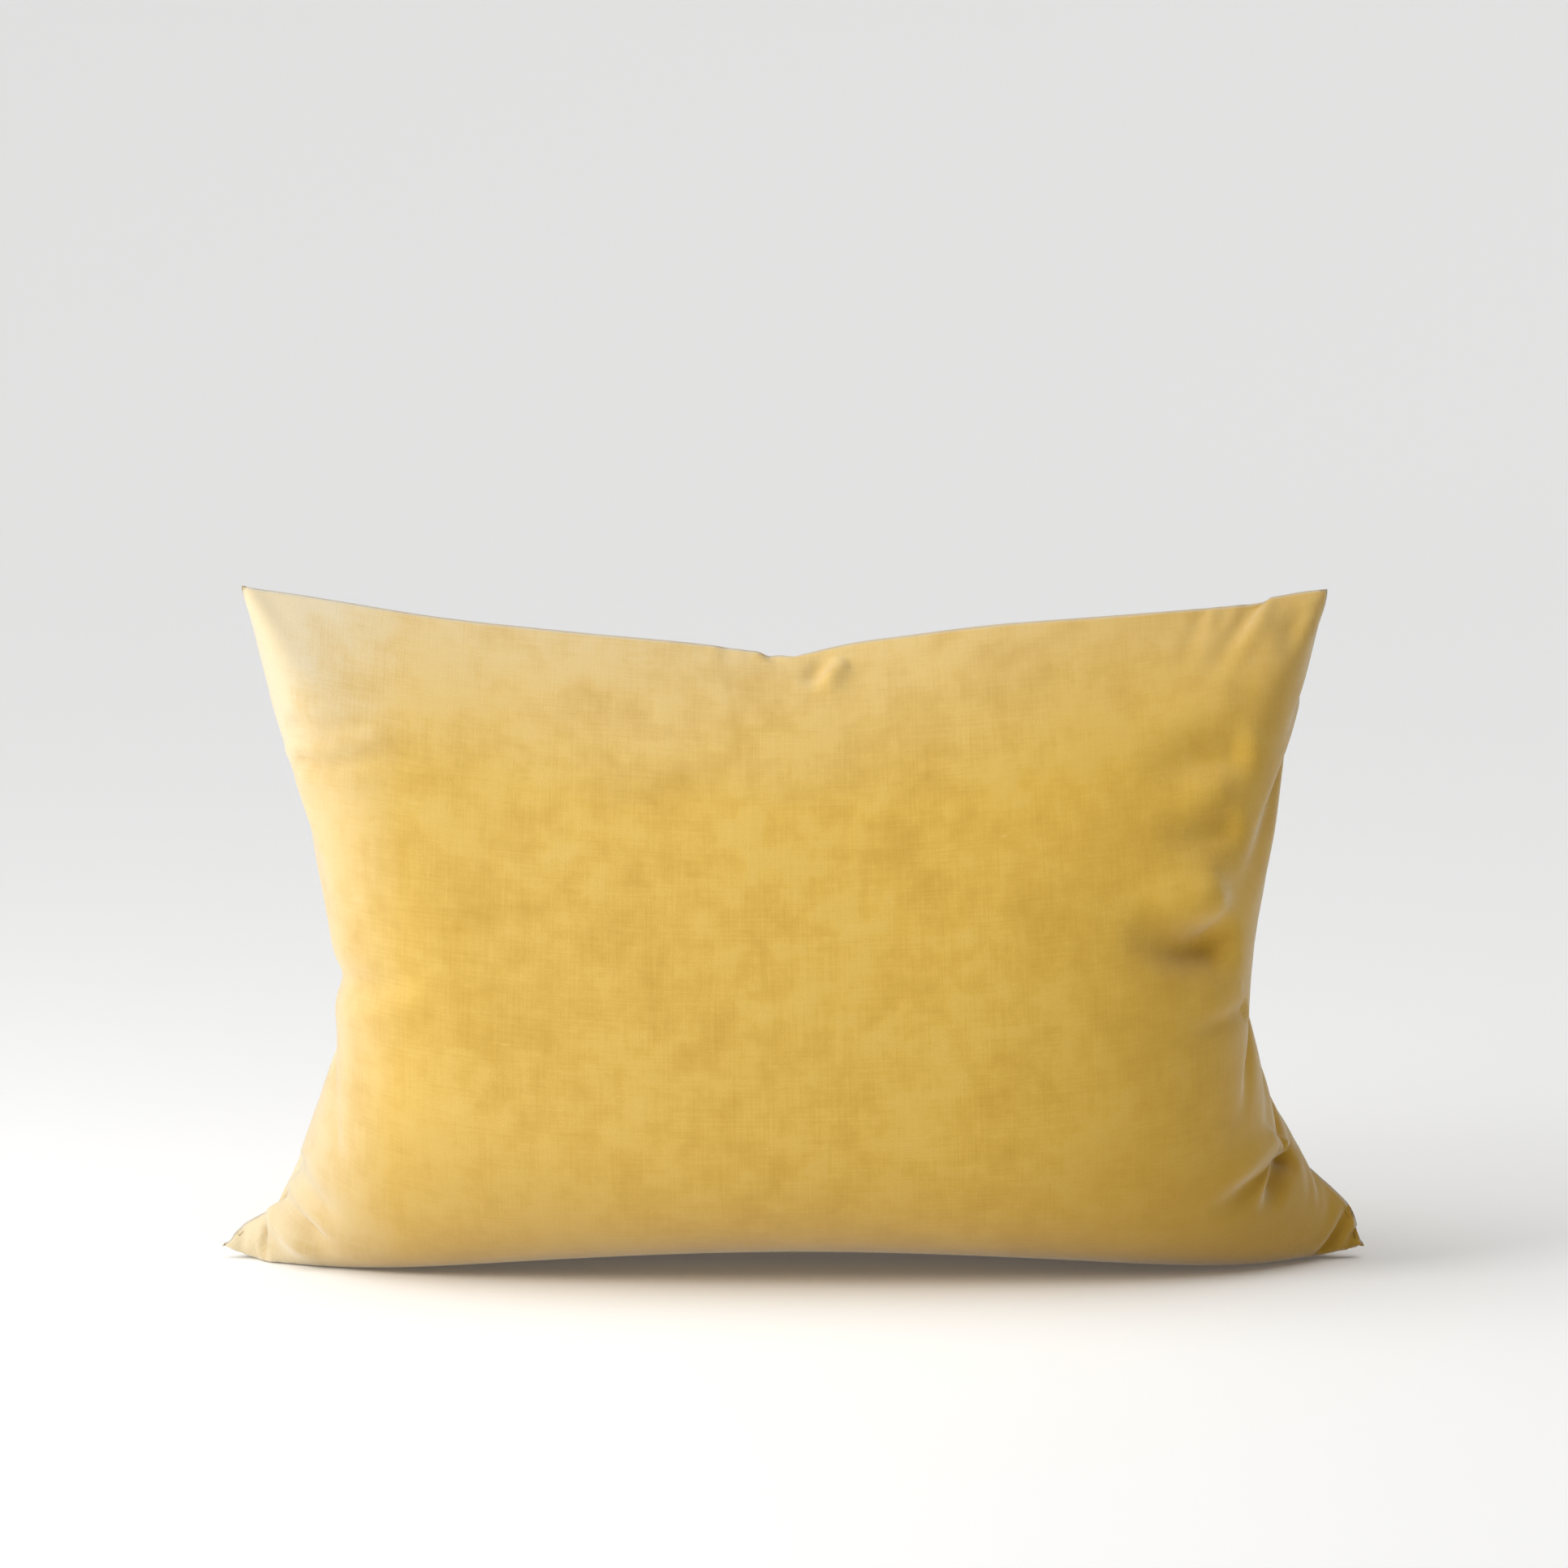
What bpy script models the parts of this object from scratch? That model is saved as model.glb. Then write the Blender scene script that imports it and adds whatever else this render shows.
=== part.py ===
"""Throw pillow standing on one long edge: zipped velvet cover around a stuffed insert.

Metres, +Z up. The origin is under the middle of the pillow on the surface it stands on.
+X runs along the pillow's length, and the front faces -Y. Front and back are mirror images.

Every cloth layer is a surface over two parameters: u runs from -1 at the left seam to 1 at the
right seam, and s from 0 at the top seam to 1 at the bottom seam, over the front of the pillow.
"""

import math

import bmesh
import bpy
import numpy as np

# Overall sizes of the filled pillow
BOTTOM_LENGTH = 0.600       # between the tips of the lower corners
TOP_LENGTH = 0.562          # between the tips of the upper corners
WAIST_LENGTH = 0.463        # where the side seams pull in most
CORNER_HEIGHT = 0.352       # floor to the tips of the upper corners
MIDDLE_HEIGHT = 0.318       # floor to the middle of the top seam
THICKNESS = 0.192           # front to back at the fullest place
SEAM_LIFT = 0.014           # bottom seam above the floor, between the cheeks it stands on
CORNER_LIFT = 0.006         # the same at the lower corners
EAR_DEPTH = 0.006           # half depth that the empty corners keep

# Cover
COVER_CLOTH = 0.0012        # velvet thickness
ALLOWANCE_CLOTH = 0.0009    # velvet thickness where it is pressed in the seam
ALLOWANCE = 0.010           # width of the turned-in seam allowance
FOLD_WIDTH = 0.0015         # width of the fold between panel and allowance
ALLOWANCE_CORNER = 8        # power with which the allowance narrows at the corners
SEAM_GAP = 0.00045          # half the gap between the two panels in the seam
OVERLOCK_WIDTH = 0.003      # how far the overlock reaches over the allowances
OVERLOCK_CORNER = 0.05      # share of a seam that the overlock leaves at an upper corner
OVERLOCK_LOOSE = 0.0010     # overlock loops beyond the raw edges
OVERLOCK_LOW = 0.88         # share of the side seams where the overlock ends, at the bottom
THREAD = 0.0005             # thickness of overlock threads
STITCH_THREAD = 0.0003      # thickness of sewing thread pressed in a seam
STITCH_INSET = 0.0006       # sewing thread behind the seam's edge
STITCH_WIDTH = 0.0008       # width of the stitch line
CLEARANCE = 0.0003          # between pieces that touch on the real pillow

# Zip in the bottom seam
ZIP_LENGTH = 0.380          # coil length
ZIP_TAPE_SPARE = 0.008      # tape beyond each end of the coil
ZIP_TAPE = 0.0005           # tape thickness
ZIP_TAPE_GAP = 0.0002       # half the gap between the tapes
ZIP_TAPE_ABOVE = 0.012      # tape height above the seam line
COIL_RADIUS = 0.0007
COIL_SPREAD = 0.00135       # coil centre lines from the zip's middle plane
COIL_DROP = 0.0040          # coil centre lines under the seam line
ZIP_STITCH_LIFT = 0.004     # stitching of the tapes above the seam line
ZIP_STITCH_START = 0.02     # cover's sewing thread starts so far beyond the tapes
STOP_LENGTH = 0.0025
STOP_RADIUS = 0.0008        # half height of a stop
SLIDER_LENGTH = 0.009
SLIDER_END_GAP = 0.001      # closed slider to the coils' ends
SLIDER_WALL = 0.0008
SLIDER_RUN = 0.00035        # running clearance round coils, tapes and pin
DIVIDER = 0.0006            # width of the rib between the coils
PIN_RADIUS = 0.0005
PIN_DROP = 0.0021           # pin axis under the slider's base
LUG_WIDTH = 0.0008
LUG_LENGTH = 0.0016
TAB_LENGTH = 0.017          # pin axis to tip
TAB_WIDTH = 0.005
TAB_THICKNESS = 0.0009
TAB_EYE_WIDTH = 0.0023
TAB_EYE_WALL = 0.00065
TAB_PLATE_GAP = 0.0007      # eye to the wide plate
TAB_NECK_LAP = 0.001        # neck inside the plate
TAB_NECK = (0.98, 0.9)      # neck's share of the eye's width and of the plate's thickness
TAB_FLOOR_GAP = 0.00035     # tip above the floor at rest

# Insert
INSERT_CLEARANCE = 0.0035    # insert's cloth inside the cover's cloth
INSERT_SEAM_INSET = 0.0165  # insert's seam inside the cover's seam
INSERT_CORNER_INSET = 0.034 # more than that at the corners, which it leaves empty
TICKING_CLOTH = 0.0006
TICKING_SEAM = 0.004        # width of the insert's flat seam
FILL_CLEARANCE = 0.0035     # fill inside the ticking
FILL_SEAM_INSET = 0.010     # fill's edge inside the ticking's flat seam
STITCH_CORNER = 0.06        # share of a seam where the insert's stitching rounds a corner
CLOSING_LENGTH = 0.150      # hand-closed stretch of the insert's bottom seam
CLOSING_END = 0.02          # share of the half seam between it and the machine stitching
INSERT_EDGE = 7             # power of the insert's rounding towards its seam: higher is tighter
INSERT_CORNER = 4           # power with which its corners draw in

# Blank labels, both lying in the middle plane
LABEL_CLOTH = 0.0003
CARE_LABEL = (0.016, 0.020)     # width, height
CARE_LABEL_AT = -0.85           # share of the bottom seam where it starts
INSERT_LABEL = (0.018, 0.012)
INSERT_LABEL_AT = 0.86          # share of the insert's top seam where it starts

# Shape of the section at mid length, from the top seam over the front to the bottom seam:
# share of the half thickness, share of the height, share of the seam's lift
SECTION = np.array((
    (0.00, 1.00, 0.0),
    (0.36, 0.86, 0.0),
    (0.74, 0.62, 0.0),
    (0.98, 0.37, 0.0),
    (0.93, 0.14, 0.0),
    (0.64, 0.00, 0.0),
    (0.42, 0.00, 0.0),
    (0.13, 0.00, 0.5),
    (0.00, 0.00, 1.0),
))

WAIST_AT = 0.55             # share of the side seam, from the top, where it pulls in most
UPPER_SWEEP = 1.35          # power of the side seam's curve above the waist
LOWER_SWEEP = 2.6           # the same below the waist
TOP_SWEEP = 1.25            # power of the top seam's rise to its corners
CROWN = (2.8, 0.62)         # powers of the fullness between the side seams
EAR_START = 0.004           # distance from a seam where an empty corner opens to half its depth
GAP_RUN_OUT = 0.03          # length over which the zip's gap closes to a plain seam
GAP_FROM = 0.9              # share of the height, from the top, below which the gap widens
FLAT_BOTTOM = 0.70          # share of the bottom seam that stays straight
SEAM_STEPS = 14
COVER_COLUMNS = 24
COVER_ROWS = 16
INSERT_COLUMNS = 20
INSERT_ROWS = 14

GOLD_VELVET = (0.60, 0.39, 0.075)
GOLD_THREAD = (0.56, 0.36, 0.08)
TICKING_WHITE = (0.78, 0.77, 0.73)
LABEL_WHITE = (0.88, 0.87, 0.84)
WADDING_WHITE = (0.85, 0.85, 0.83)
NYLON = (0.50, 0.33, 0.09)
BRASS = (0.55, 0.42, 0.20)


# ---------------------------------------------------------------- scene helpers

def clear_scene():
    for old in list(bpy.data.objects):
        bpy.data.objects.remove(old, do_unlink=True)


def material(name, colour, roughness, metallic=0.0):
    finish = bpy.data.materials.new(name)
    finish.use_nodes = True
    shader = finish.node_tree.nodes["Principled BSDF"]
    shader.inputs["Base Color"].default_value = (*colour, 1.0)
    shader.inputs["Roughness"].default_value = roughness
    shader.inputs["Metallic"].default_value = metallic
    return finish


def add_object(name, vertices, faces, finish, parent=None, location=(0, 0, 0)):
    """A mesh object whose closed mesh is turned to face outwards."""
    mesh = bpy.data.meshes.new(name)
    mesh.from_pydata([tuple(map(float, v)) for v in vertices], [], faces)
    shape = bmesh.new()
    shape.from_mesh(mesh)
    if shape.calc_volume(signed=True) < 0:
        bmesh.ops.reverse_faces(shape, faces=shape.faces)
    shape.to_mesh(mesh)
    shape.free()
    if finish:
        mesh.materials.append(finish)
    thing = bpy.data.objects.new(name, mesh)
    thing.location = location
    thing.parent = parent
    bpy.context.scene.collection.objects.link(thing)
    return thing


def combine(target, tool, operation):
    """Add or cut a helper solid, which itself is left out of the part."""
    tool.hide_render = True
    tool.display_type = 'WIRE'
    step = target.modifiers.new(operation.title() + "_" + tool.name, 'BOOLEAN')
    step.object = tool
    step.operation = operation
    step.solver = 'EXACT'


# ---------------------------------------------------------------- curves of the pillow

def smooth_step(share):
    share = np.clip(share, 0.0, 1.0)
    return share * share * (3.0 - 2.0 * share)


def curve_through(points, place):
    """Catmull-Rom curve through the points, read at place = 0 for the first, 1 for the next."""
    padded = np.vstack((2 * points[0] - points[1], points, 2 * points[-1] - points[-2]))
    span = np.clip(np.floor(place).astype(int), 0, len(points) - 2)
    f = (place - span)[..., None]
    a, b, c, d = (padded[span + k] for k in range(4))
    return b + 0.5 * f * ((c - a) + f * ((2 * a - 5 * b + 4 * c - d) + f * (3 * (b - c) + d - a)))


def half_length(s):
    """Half the distance between the side seams, which pull in between the corners."""
    above = np.clip((WAIST_AT - s) / WAIST_AT, 0, 1) ** UPPER_SWEEP * (TOP_LENGTH - WAIST_LENGTH)
    below = np.clip((s - WAIST_AT) / (1 - WAIST_AT), 0, 1) ** LOWER_SWEEP * (BOTTOM_LENGTH - WAIST_LENGTH)
    return (WAIST_LENGTH + above + below) / 2


def top_height(u):
    return MIDDLE_HEIGHT + (CORNER_HEIGHT - MIDDLE_HEIGHT) * np.abs(u) ** TOP_SWEEP


def bottom_lift(u):
    return SEAM_LIFT + (CORNER_LIFT - SEAM_LIFT) * smooth_step((np.abs(u) - FLAT_BOTTOM) / (1 - FLAT_BOTTOM))


def zip_seam_gap():
    """Half gap between the panels along the zip: room for tape, stitching and clearances."""
    return ZIP_TAPE_GAP + ZIP_TAPE + STITCH_THREAD + 2 * CLEARANCE


def seam_half_gap(u, s):
    """Half the gap between the front and back cover: wider in the bottom seam, for the zip."""
    along = 1 - smooth_step((np.abs(u) * BOTTOM_LENGTH / 2 - zip_end()) / GAP_RUN_OUT)
    near = smooth_step((s - GAP_FROM) / (1 - GAP_FROM))
    return SEAM_GAP + (zip_seam_gap() - SEAM_GAP) * along * near


def zip_end():
    return ZIP_LENGTH / 2 + ZIP_TAPE_SPARE + STOP_LENGTH


def cover_front(u, s):
    """Outer face of the front of the cover, as an array of points."""
    shares = curve_through(SECTION, s * (len(SECTION) - 1))
    depth, height, lift = shares[..., 0], shares[..., 1], shares[..., 2]
    edge = smooth_step((np.abs(u) - FLAT_BOTTOM) / (1 - FLAT_BOTTOM))
    height = height + (1 - s - height) * edge
    lift = lift + (s - lift) * edge
    x = u * half_length(np.clip(1 - height, 0, 1))
    z = np.maximum(height, 0) * top_height(u) + lift * bottom_lift(u)
    crown = np.clip(1 - np.abs(u) ** CROWN[0], 0, 1) ** CROWN[1]
    from_side = (1 - np.abs(u)) * half_length(s)
    from_ends = np.minimum(s, 1 - s) * CORNER_HEIGHT
    ear = EAR_DEPTH * from_side / (from_side + EAR_START) * from_ends / (from_ends + EAR_START)
    y = seam_half_gap(u, s) + THICKNESS / 2 * crown * np.clip(depth, 0, None) + ear
    return np.stack((x, -y, np.maximum(z, 0)), axis=-1)


def seam_point(u, s, inset, y):
    """Point of the seam's plane, at a distance inside the seam line."""
    x = u * (half_length(s) - inset)
    low = bottom_lift(u) + inset
    high = top_height(u) - inset
    return np.stack(np.broadcast_arrays(x, y, high + (low - high) * s), axis=-1)


def inward(surface, u, s, distance):
    """Points of a surface moved towards the pillow's inside, square to the surface."""
    step = 0.002
    along_u = surface(np.minimum(u + step, 1), s) - surface(np.maximum(u - step, -1), s)
    along_s = surface(u, np.minimum(s + step, 1)) - surface(u, np.maximum(s - step, 0))
    square = np.cross(along_u, along_s)
    square /= np.linalg.norm(square, axis=-1, keepdims=True)
    return surface(u, s) + distance * square


def grid(columns, rows):
    """Parameter grid, closer near the side seams."""
    even = np.linspace(-1, 1, columns + 1)
    u = 0.25 * even + 0.75 * np.sin(even * math.pi / 2)
    s = np.linspace(0, 1, rows + 1)
    return np.meshgrid(u, s, indexing='ij')


def border(array):
    """The grid's edge as one loop: along the top, down the right, back along the bottom, up."""
    return np.concatenate((array[:-1, 0], array[-1, :-1], array[:0:-1, -1], array[0, :0:-1]))


# ---------------------------------------------------------------- solids of cloth and thread

def grid_faces(columns, rows, first, flip):
    faces = []
    for i in range(columns):
        for j in range(rows):
            a = first + i * (rows + 1) + j
            b = a + rows + 1
            faces.append((a, b, b + 1, a + 1) if flip else (a, a + 1, b + 1, b))
    return faces


def panel(name, outer, rings, inner, finish, parent, side):
    """A cloth panel: outer face, the rings of its turned-in edge, inner face.

    side is -1 for the front and 1 for the back, which is the front's mirror image."""
    columns, rows = outer.shape[0] - 1, outer.shape[1] - 1
    count = (columns + 1) * (rows + 1)
    numbers = border(np.arange(count).reshape(columns + 1, rows + 1))
    loops = [numbers]
    start = count
    for ring in rings:
        loops.append(np.arange(start, start + len(ring)))
        start += len(ring)
    loops.append(numbers + start)
    faces = grid_faces(columns, rows, 0, False) + grid_faces(columns, rows, start, True)
    for a, b in zip(loops, loops[1:]):
        after = np.roll(np.arange(len(a)), -1)
        faces += [tuple(int(n) for n in f) for f in zip(a, a[after], b[after], b)]
    points = np.concatenate([outer.reshape(-1, 3), *rings, inner.reshape(-1, 3)])
    points[:, 1] *= -side
    return add_object(name, points, faces, finish, parent)


def band(name, rings, finish, parent, closed=False, location=(0, 0, 0)):
    """A solid swept through rings of points, with flat ends unless it closes on itself."""
    size = len(rings[0])
    faces = []
    last = len(rings) if closed else len(rings) - 1
    for k in range(last):
        a, b = k * size, (k + 1) % len(rings) * size
        for n in range(size):
            m = (n + 1) % size
            faces.append((a + n, a + m, b + m, b + n))
    if not closed:
        faces.append(tuple(range(size))[::-1])
        faces.append(tuple(range((len(rings) - 1) * size, len(rings) * size)))
    return add_object(name, np.concatenate(rings), faces, finish, parent, location)


def seam_band(name, path, section, finish, parent, closed=False):
    """A thread along the seam line: path is (u, s) pairs, section is (inset, y) pairs."""
    rings = []
    for u, s in path:
        rings.append(np.array([seam_point(u, s, inset, y) for inset, y in section]))
    return band(name, rings, finish, parent, closed)


def bar(name, x0, x1, section, finish, parent, location=(0, 0, 0)):
    """A straight bar along X: section is (y, z) pairs."""
    rings = [np.array([(x, y, z) for y, z in section]) for x in (x0, x1)]
    return band(name, rings, finish, parent, location=location)


def rectangle(a0, a1, b0, b1):
    return ((a0, b0), (a1, b0), (a1, b1), (a0, b1))


def disc(radius, sides, a=0.0, b=0.0):
    turns = [2 * math.pi * (k + 0.5) / sides for k in range(sides)]
    return [(a + radius * math.cos(t), b + radius * math.sin(t)) for t in turns]


# ---------------------------------------------------------------- cover

def make_cover(parent):
    u, s = grid(COVER_COLUMNS, COVER_ROWS)
    outer = cover_front(u, s)
    inner = inward(cover_front, u, s, COVER_CLOTH)
    fold_y = seam_half_gap(u, s) + ALLOWANCE_CLOTH
    inner[..., 1] = np.minimum(inner[..., 1], -(fold_y + CLEARANCE))

    edge_u, edge_s = border(u), border(s)
    gap = seam_half_gap(edge_u, edge_s)
    corner = (np.abs(edge_u) * np.abs(2 * edge_s - 1)) ** ALLOWANCE_CORNER
    width = ALLOWANCE - (ALLOWANCE - 2 * FOLD_WIDTH) * corner
    rings = [
        seam_point(edge_u, edge_s, width, -gap),
        seam_point(edge_u, edge_s, width, -gap - ALLOWANCE_CLOTH),
    ]
    fold = seam_point(u, s, FOLD_WIDTH, -fold_y)
    for part in (np.s_[0, :], np.s_[-1, :], np.s_[:, 0], np.s_[:, -1]):
        inner[part] = fold[part]

    velvet = material("gold_velvet", GOLD_VELVET, 0.85)
    panel("cover_front_panel", outer, rings, inner, velvet, parent, -1)
    panel("cover_back_panel", outer, rings, inner, velvet.copy(), parent, 1)


def seam_path(margin):
    """(u, s) along the sewn seam: bottom left, up, over the top and down to bottom right."""
    zip_share = (zip_end() + margin) / (BOTTOM_LENGTH / 2)
    bottom = [(-zip_share, 1.0), (-(1 + zip_share) / 2, 1.0)]
    steps = [k / SEAM_STEPS for k in range(SEAM_STEPS + 1)]
    left = [(-1.0, 1 - t) for t in steps]
    top = [(2 * t - 1, 0.0) for t in steps[1:]]
    return bottom + left + top + [(1.0, t) for t in steps[1:]] + [(-a, b) for a, b in reversed(bottom)]


def side_path():
    """(u, s) along the two side seams and the top seam, cutting the upper corners."""
    steps = [k / SEAM_STEPS for k in range(SEAM_STEPS + 1)]
    left = [(-1.0, OVERLOCK_LOW + (OVERLOCK_CORNER - OVERLOCK_LOW) * t) for t in steps]
    top = [((1 - OVERLOCK_CORNER) * (2 * t - 1), 0.0) for t in steps]
    return left + top + [(-a, b) for a, b in reversed(left)]


def make_seams(parent):
    thread = material("gold_thread", GOLD_THREAD, 0.6)
    half = STITCH_THREAD / 2
    line = rectangle(STITCH_INSET, STITCH_INSET + STITCH_WIDTH, -half, half)
    seam_band("cover_seam_stitching", seam_path(ZIP_STITCH_START), line, thread, parent)

    inside = SEAM_GAP + ALLOWANCE_CLOTH + CLEARANCE
    outside = inside + THREAD
    lip = ALLOWANCE - OVERLOCK_WIDTH
    end = ALLOWANCE + OVERLOCK_LOOSE
    wrap = (
        (lip, -outside), (end + THREAD, -outside), (end + THREAD, outside), (lip, outside),
        (lip, inside), (end, inside), (end, -inside), (lip, -inside),
    )
    overlock = material("overlock_thread", GOLD_THREAD, 0.7)
    seam_band("cover_seam_overlock", side_path(), wrap, overlock, parent)


# ---------------------------------------------------------------- zip

def coil_height():
    return SEAM_LIFT - COIL_DROP


def make_zip(parent):
    cloth = material("zip_tape_cloth", GOLD_THREAD, 0.75)
    nylon = material("zip_nylon", NYLON, 0.35)
    thread = material("zip_thread", GOLD_THREAD, 0.6)
    metal = material("zip_metal", BRASS, 0.35, 1.0)
    half = ZIP_LENGTH / 2
    middle = coil_height()
    tape_low = middle + COIL_RADIUS + CLEARANCE
    tape_out = ZIP_TAPE_GAP + ZIP_TAPE
    coil_end = half + CLEARANCE
    line_low = SEAM_LIFT + ZIP_STITCH_LIFT
    for side, word in ((-1, "front"), (1, "back")):
        tape = rectangle(side * ZIP_TAPE_GAP, side * tape_out, tape_low, SEAM_LIFT + ZIP_TAPE_ABOVE)
        bar("zip_tape_" + word, -half - ZIP_TAPE_SPARE, half + ZIP_TAPE_SPARE, tape, cloth, parent)
        coil = disc(COIL_RADIUS, 8, side * COIL_SPREAD, middle)
        bar("zip_coil_" + word, -half, half, coil, nylon, parent)
        line_y = side * (tape_out + CLEARANCE)
        line = rectangle(line_y, line_y + side * STITCH_THREAD,
                         line_low, line_low + STITCH_WIDTH)
        bar("zip_stitching_" + word, -half, half, line, thread, parent)
        stop_in = side * (COIL_SPREAD - COIL_RADIUS)
        stop = rectangle(stop_in, side * (COIL_SPREAD + COIL_RADIUS), middle - STOP_RADIUS,
                         middle + COIL_RADIUS)
        bar("zip_top_stop_" + word, coil_end, coil_end + STOP_LENGTH, stop, metal, parent)
    across = COIL_SPREAD + COIL_RADIUS
    stop = rectangle(-across, across, middle - STOP_RADIUS, middle + COIL_RADIUS)
    bar("zip_bottom_stop", -coil_end - STOP_LENGTH, -coil_end, stop, metal, parent)


def slider_section():
    """Channel open at the top, round both coils, with lips beside the tapes and a rib between
    the coils. Heights are from the coils' centre lines."""
    inner = COIL_SPREAD + COIL_RADIUS + SLIDER_RUN
    outer = inner + SLIDER_WALL
    floor = -COIL_RADIUS - SLIDER_RUN
    roof = COIL_RADIUS + SLIDER_RUN
    lip = ZIP_TAPE_GAP + ZIP_TAPE + SLIDER_RUN
    rib = DIVIDER / 2
    right = [
        (rib, COIL_RADIUS), (rib, floor), (inner, floor), (inner, roof), (lip, roof),
        (lip, roof + SLIDER_WALL), (outer, roof + SLIDER_WALL), (outer, floor - SLIDER_WALL),
    ]
    return right + [(-y, z) for y, z in reversed(right)]


def make_slider(parent):
    metal = material("slider_metal", BRASS, 0.3, 1.0)
    rest = ZIP_LENGTH / 2 - SLIDER_LENGTH / 2 - SLIDER_END_GAP
    half = SLIDER_LENGTH / 2
    slider = bar("zip_slider", -half, half, slider_section(), metal, parent, (rest, 0, coil_height()))
    base = -COIL_RADIUS - SLIDER_RUN - SLIDER_WALL
    pin_z = base - PIN_DROP
    eye_half = TAB_EYE_WIDTH / 2
    lug_in = eye_half + SLIDER_RUN
    lug_low = pin_z - PIN_RADIUS - CLEARANCE
    for side, word in ((-1, "front"), (1, "back")):
        section = rectangle(side * lug_in, side * (lug_in + LUG_WIDTH), lug_low, base + SLIDER_WALL / 2)
        lug = bar("slider_lug_" + word, -LUG_LENGTH / 2, LUG_LENGTH / 2, section, metal, slider)
        combine(slider, lug, 'UNION')
    reach = lug_in + LUG_WIDTH / 2
    rings = [np.array([(a, y, pin_z + b) for a, b in disc(PIN_RADIUS, 12)]) for y in (-reach, reach)]
    combine(slider, band("slider_pin", rings, metal, slider), 'UNION')
    return slider, pin_z


def make_tab(slider, pin_z):
    """Pull tab on the slider's pin. It is built level along -X and turned down to its rest."""
    metal = material("tab_metal", BRASS, 0.3, 1.0)
    bore = PIN_RADIUS + SLIDER_RUN
    eye = bore + TAB_EYE_WALL
    half = TAB_EYE_WIDTH / 2
    thick = TAB_THICKNESS / 2
    rings = [np.array([(a, y, b) for a, b in disc(eye, 20)]) for y in (-half, half)]
    tab = band("zip_pull_tab", rings, metal, slider, location=(0, 0, pin_z))
    plate_start = eye + TAB_PLATE_GAP
    wide, high = half * TAB_NECK[0], thick * TAB_NECK[1]
    neck = bar("tab_neck", -plate_start - TAB_NECK_LAP, -bore - TAB_EYE_WALL / 2,
               rectangle(-wide, wide, -high, high), metal, tab)
    plate = bar("tab_plate", -TAB_LENGTH, -plate_start,
                rectangle(-TAB_WIDTH / 2, TAB_WIDTH / 2, -thick, thick), metal, tab)
    rings = [np.array([(a, y, b) for a, b in disc(bore, 20)]) for y in (-2 * half, 2 * half)]
    hole = band("tab_bore", rings, metal, tab)
    combine(tab, neck, 'UNION')
    combine(tab, plate, 'UNION')
    combine(tab, hole, 'DIFFERENCE')
    drop = coil_height() + pin_z - thick - TAB_FLOOR_GAP
    tab.rotation_euler = (0, -math.asin(min(drop / TAB_LENGTH, 1.0)), 0)


# ---------------------------------------------------------------- insert

def insert_front(u, s, inset, offset):
    """Face of the insert's front, a distance inside the cover's outer face.

    The cover's face is read a little nearer the middle and drawn in to the seam's plane."""
    corner = (np.abs(u) * np.abs(2 * s - 1)) ** INSERT_CORNER
    draw = inset + INSERT_CORNER_INSET * corner
    cover_u = u * (1 - draw / half_length(s))
    share = draw / MIDDLE_HEIGHT
    cover_s = share + s * (1 - 2 * share)
    face = inward(cover_front, cover_u, cover_s, offset)
    sides = np.clip(1 - np.abs(u) ** INSERT_EDGE, 0, 1) ** 0.5
    ends = np.clip(1 - np.abs(2 * s - 1) ** INSERT_EDGE, 0, 1) ** 0.5
    out = sides * ends
    plane_z = np.maximum(face[..., 2], bottom_lift(cover_u) + draw)
    y = np.minimum(face[..., 1] + SEAM_GAP, 0) * out - SEAM_GAP
    z = plane_z + (face[..., 2] - plane_z) * out
    return np.stack((face[..., 0], y, z), axis=-1)


def make_insert(parent):
    ticking = material("ticking", TICKING_WHITE, 0.9)
    u, s = grid(INSERT_COLUMNS, INSERT_ROWS)
    offset = COVER_CLOTH + INSERT_CLEARANCE

    def face(u, s):
        return insert_front(u, s, INSERT_SEAM_INSET, offset)

    outer = face(u, s)
    inner = inward(face, u, s, TICKING_CLOTH)
    inner[..., 1] = np.minimum(inner[..., 1], -SEAM_GAP - TICKING_CLOTH)
    flat = insert_front(u, s, INSERT_SEAM_INSET + TICKING_SEAM, offset)
    ring = border(flat).copy()
    ring[:, 1] = -SEAM_GAP
    for part in (np.s_[0, :], np.s_[-1, :], np.s_[:, 0], np.s_[:, -1]):
        inner[part] = flat[part]
        inner[part][..., 1] = -SEAM_GAP - TICKING_CLOTH
    panel("insert_front_ticking", outer, [ring], inner, ticking, parent, -1)
    panel("insert_back_ticking", outer, [ring], inner, ticking.copy(), parent, 1)


def insert_band(name, u, s, insets, finish, parent):
    """A flat strip in the insert's seam, between two insets from its seam line."""
    offset = COVER_CLOTH + INSERT_CLEARANCE
    lines = [insert_front(u, s, INSERT_SEAM_INSET + inset, offset) for inset in insets]
    rings = []
    for a, b in zip(*lines):
        ring = np.array((a, b, b, a))
        ring[:, 1] = np.array((-1, -1, 1, 1)) * STITCH_THREAD / 2
        rings.append(ring)
    band(name, rings, finish, parent)


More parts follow.
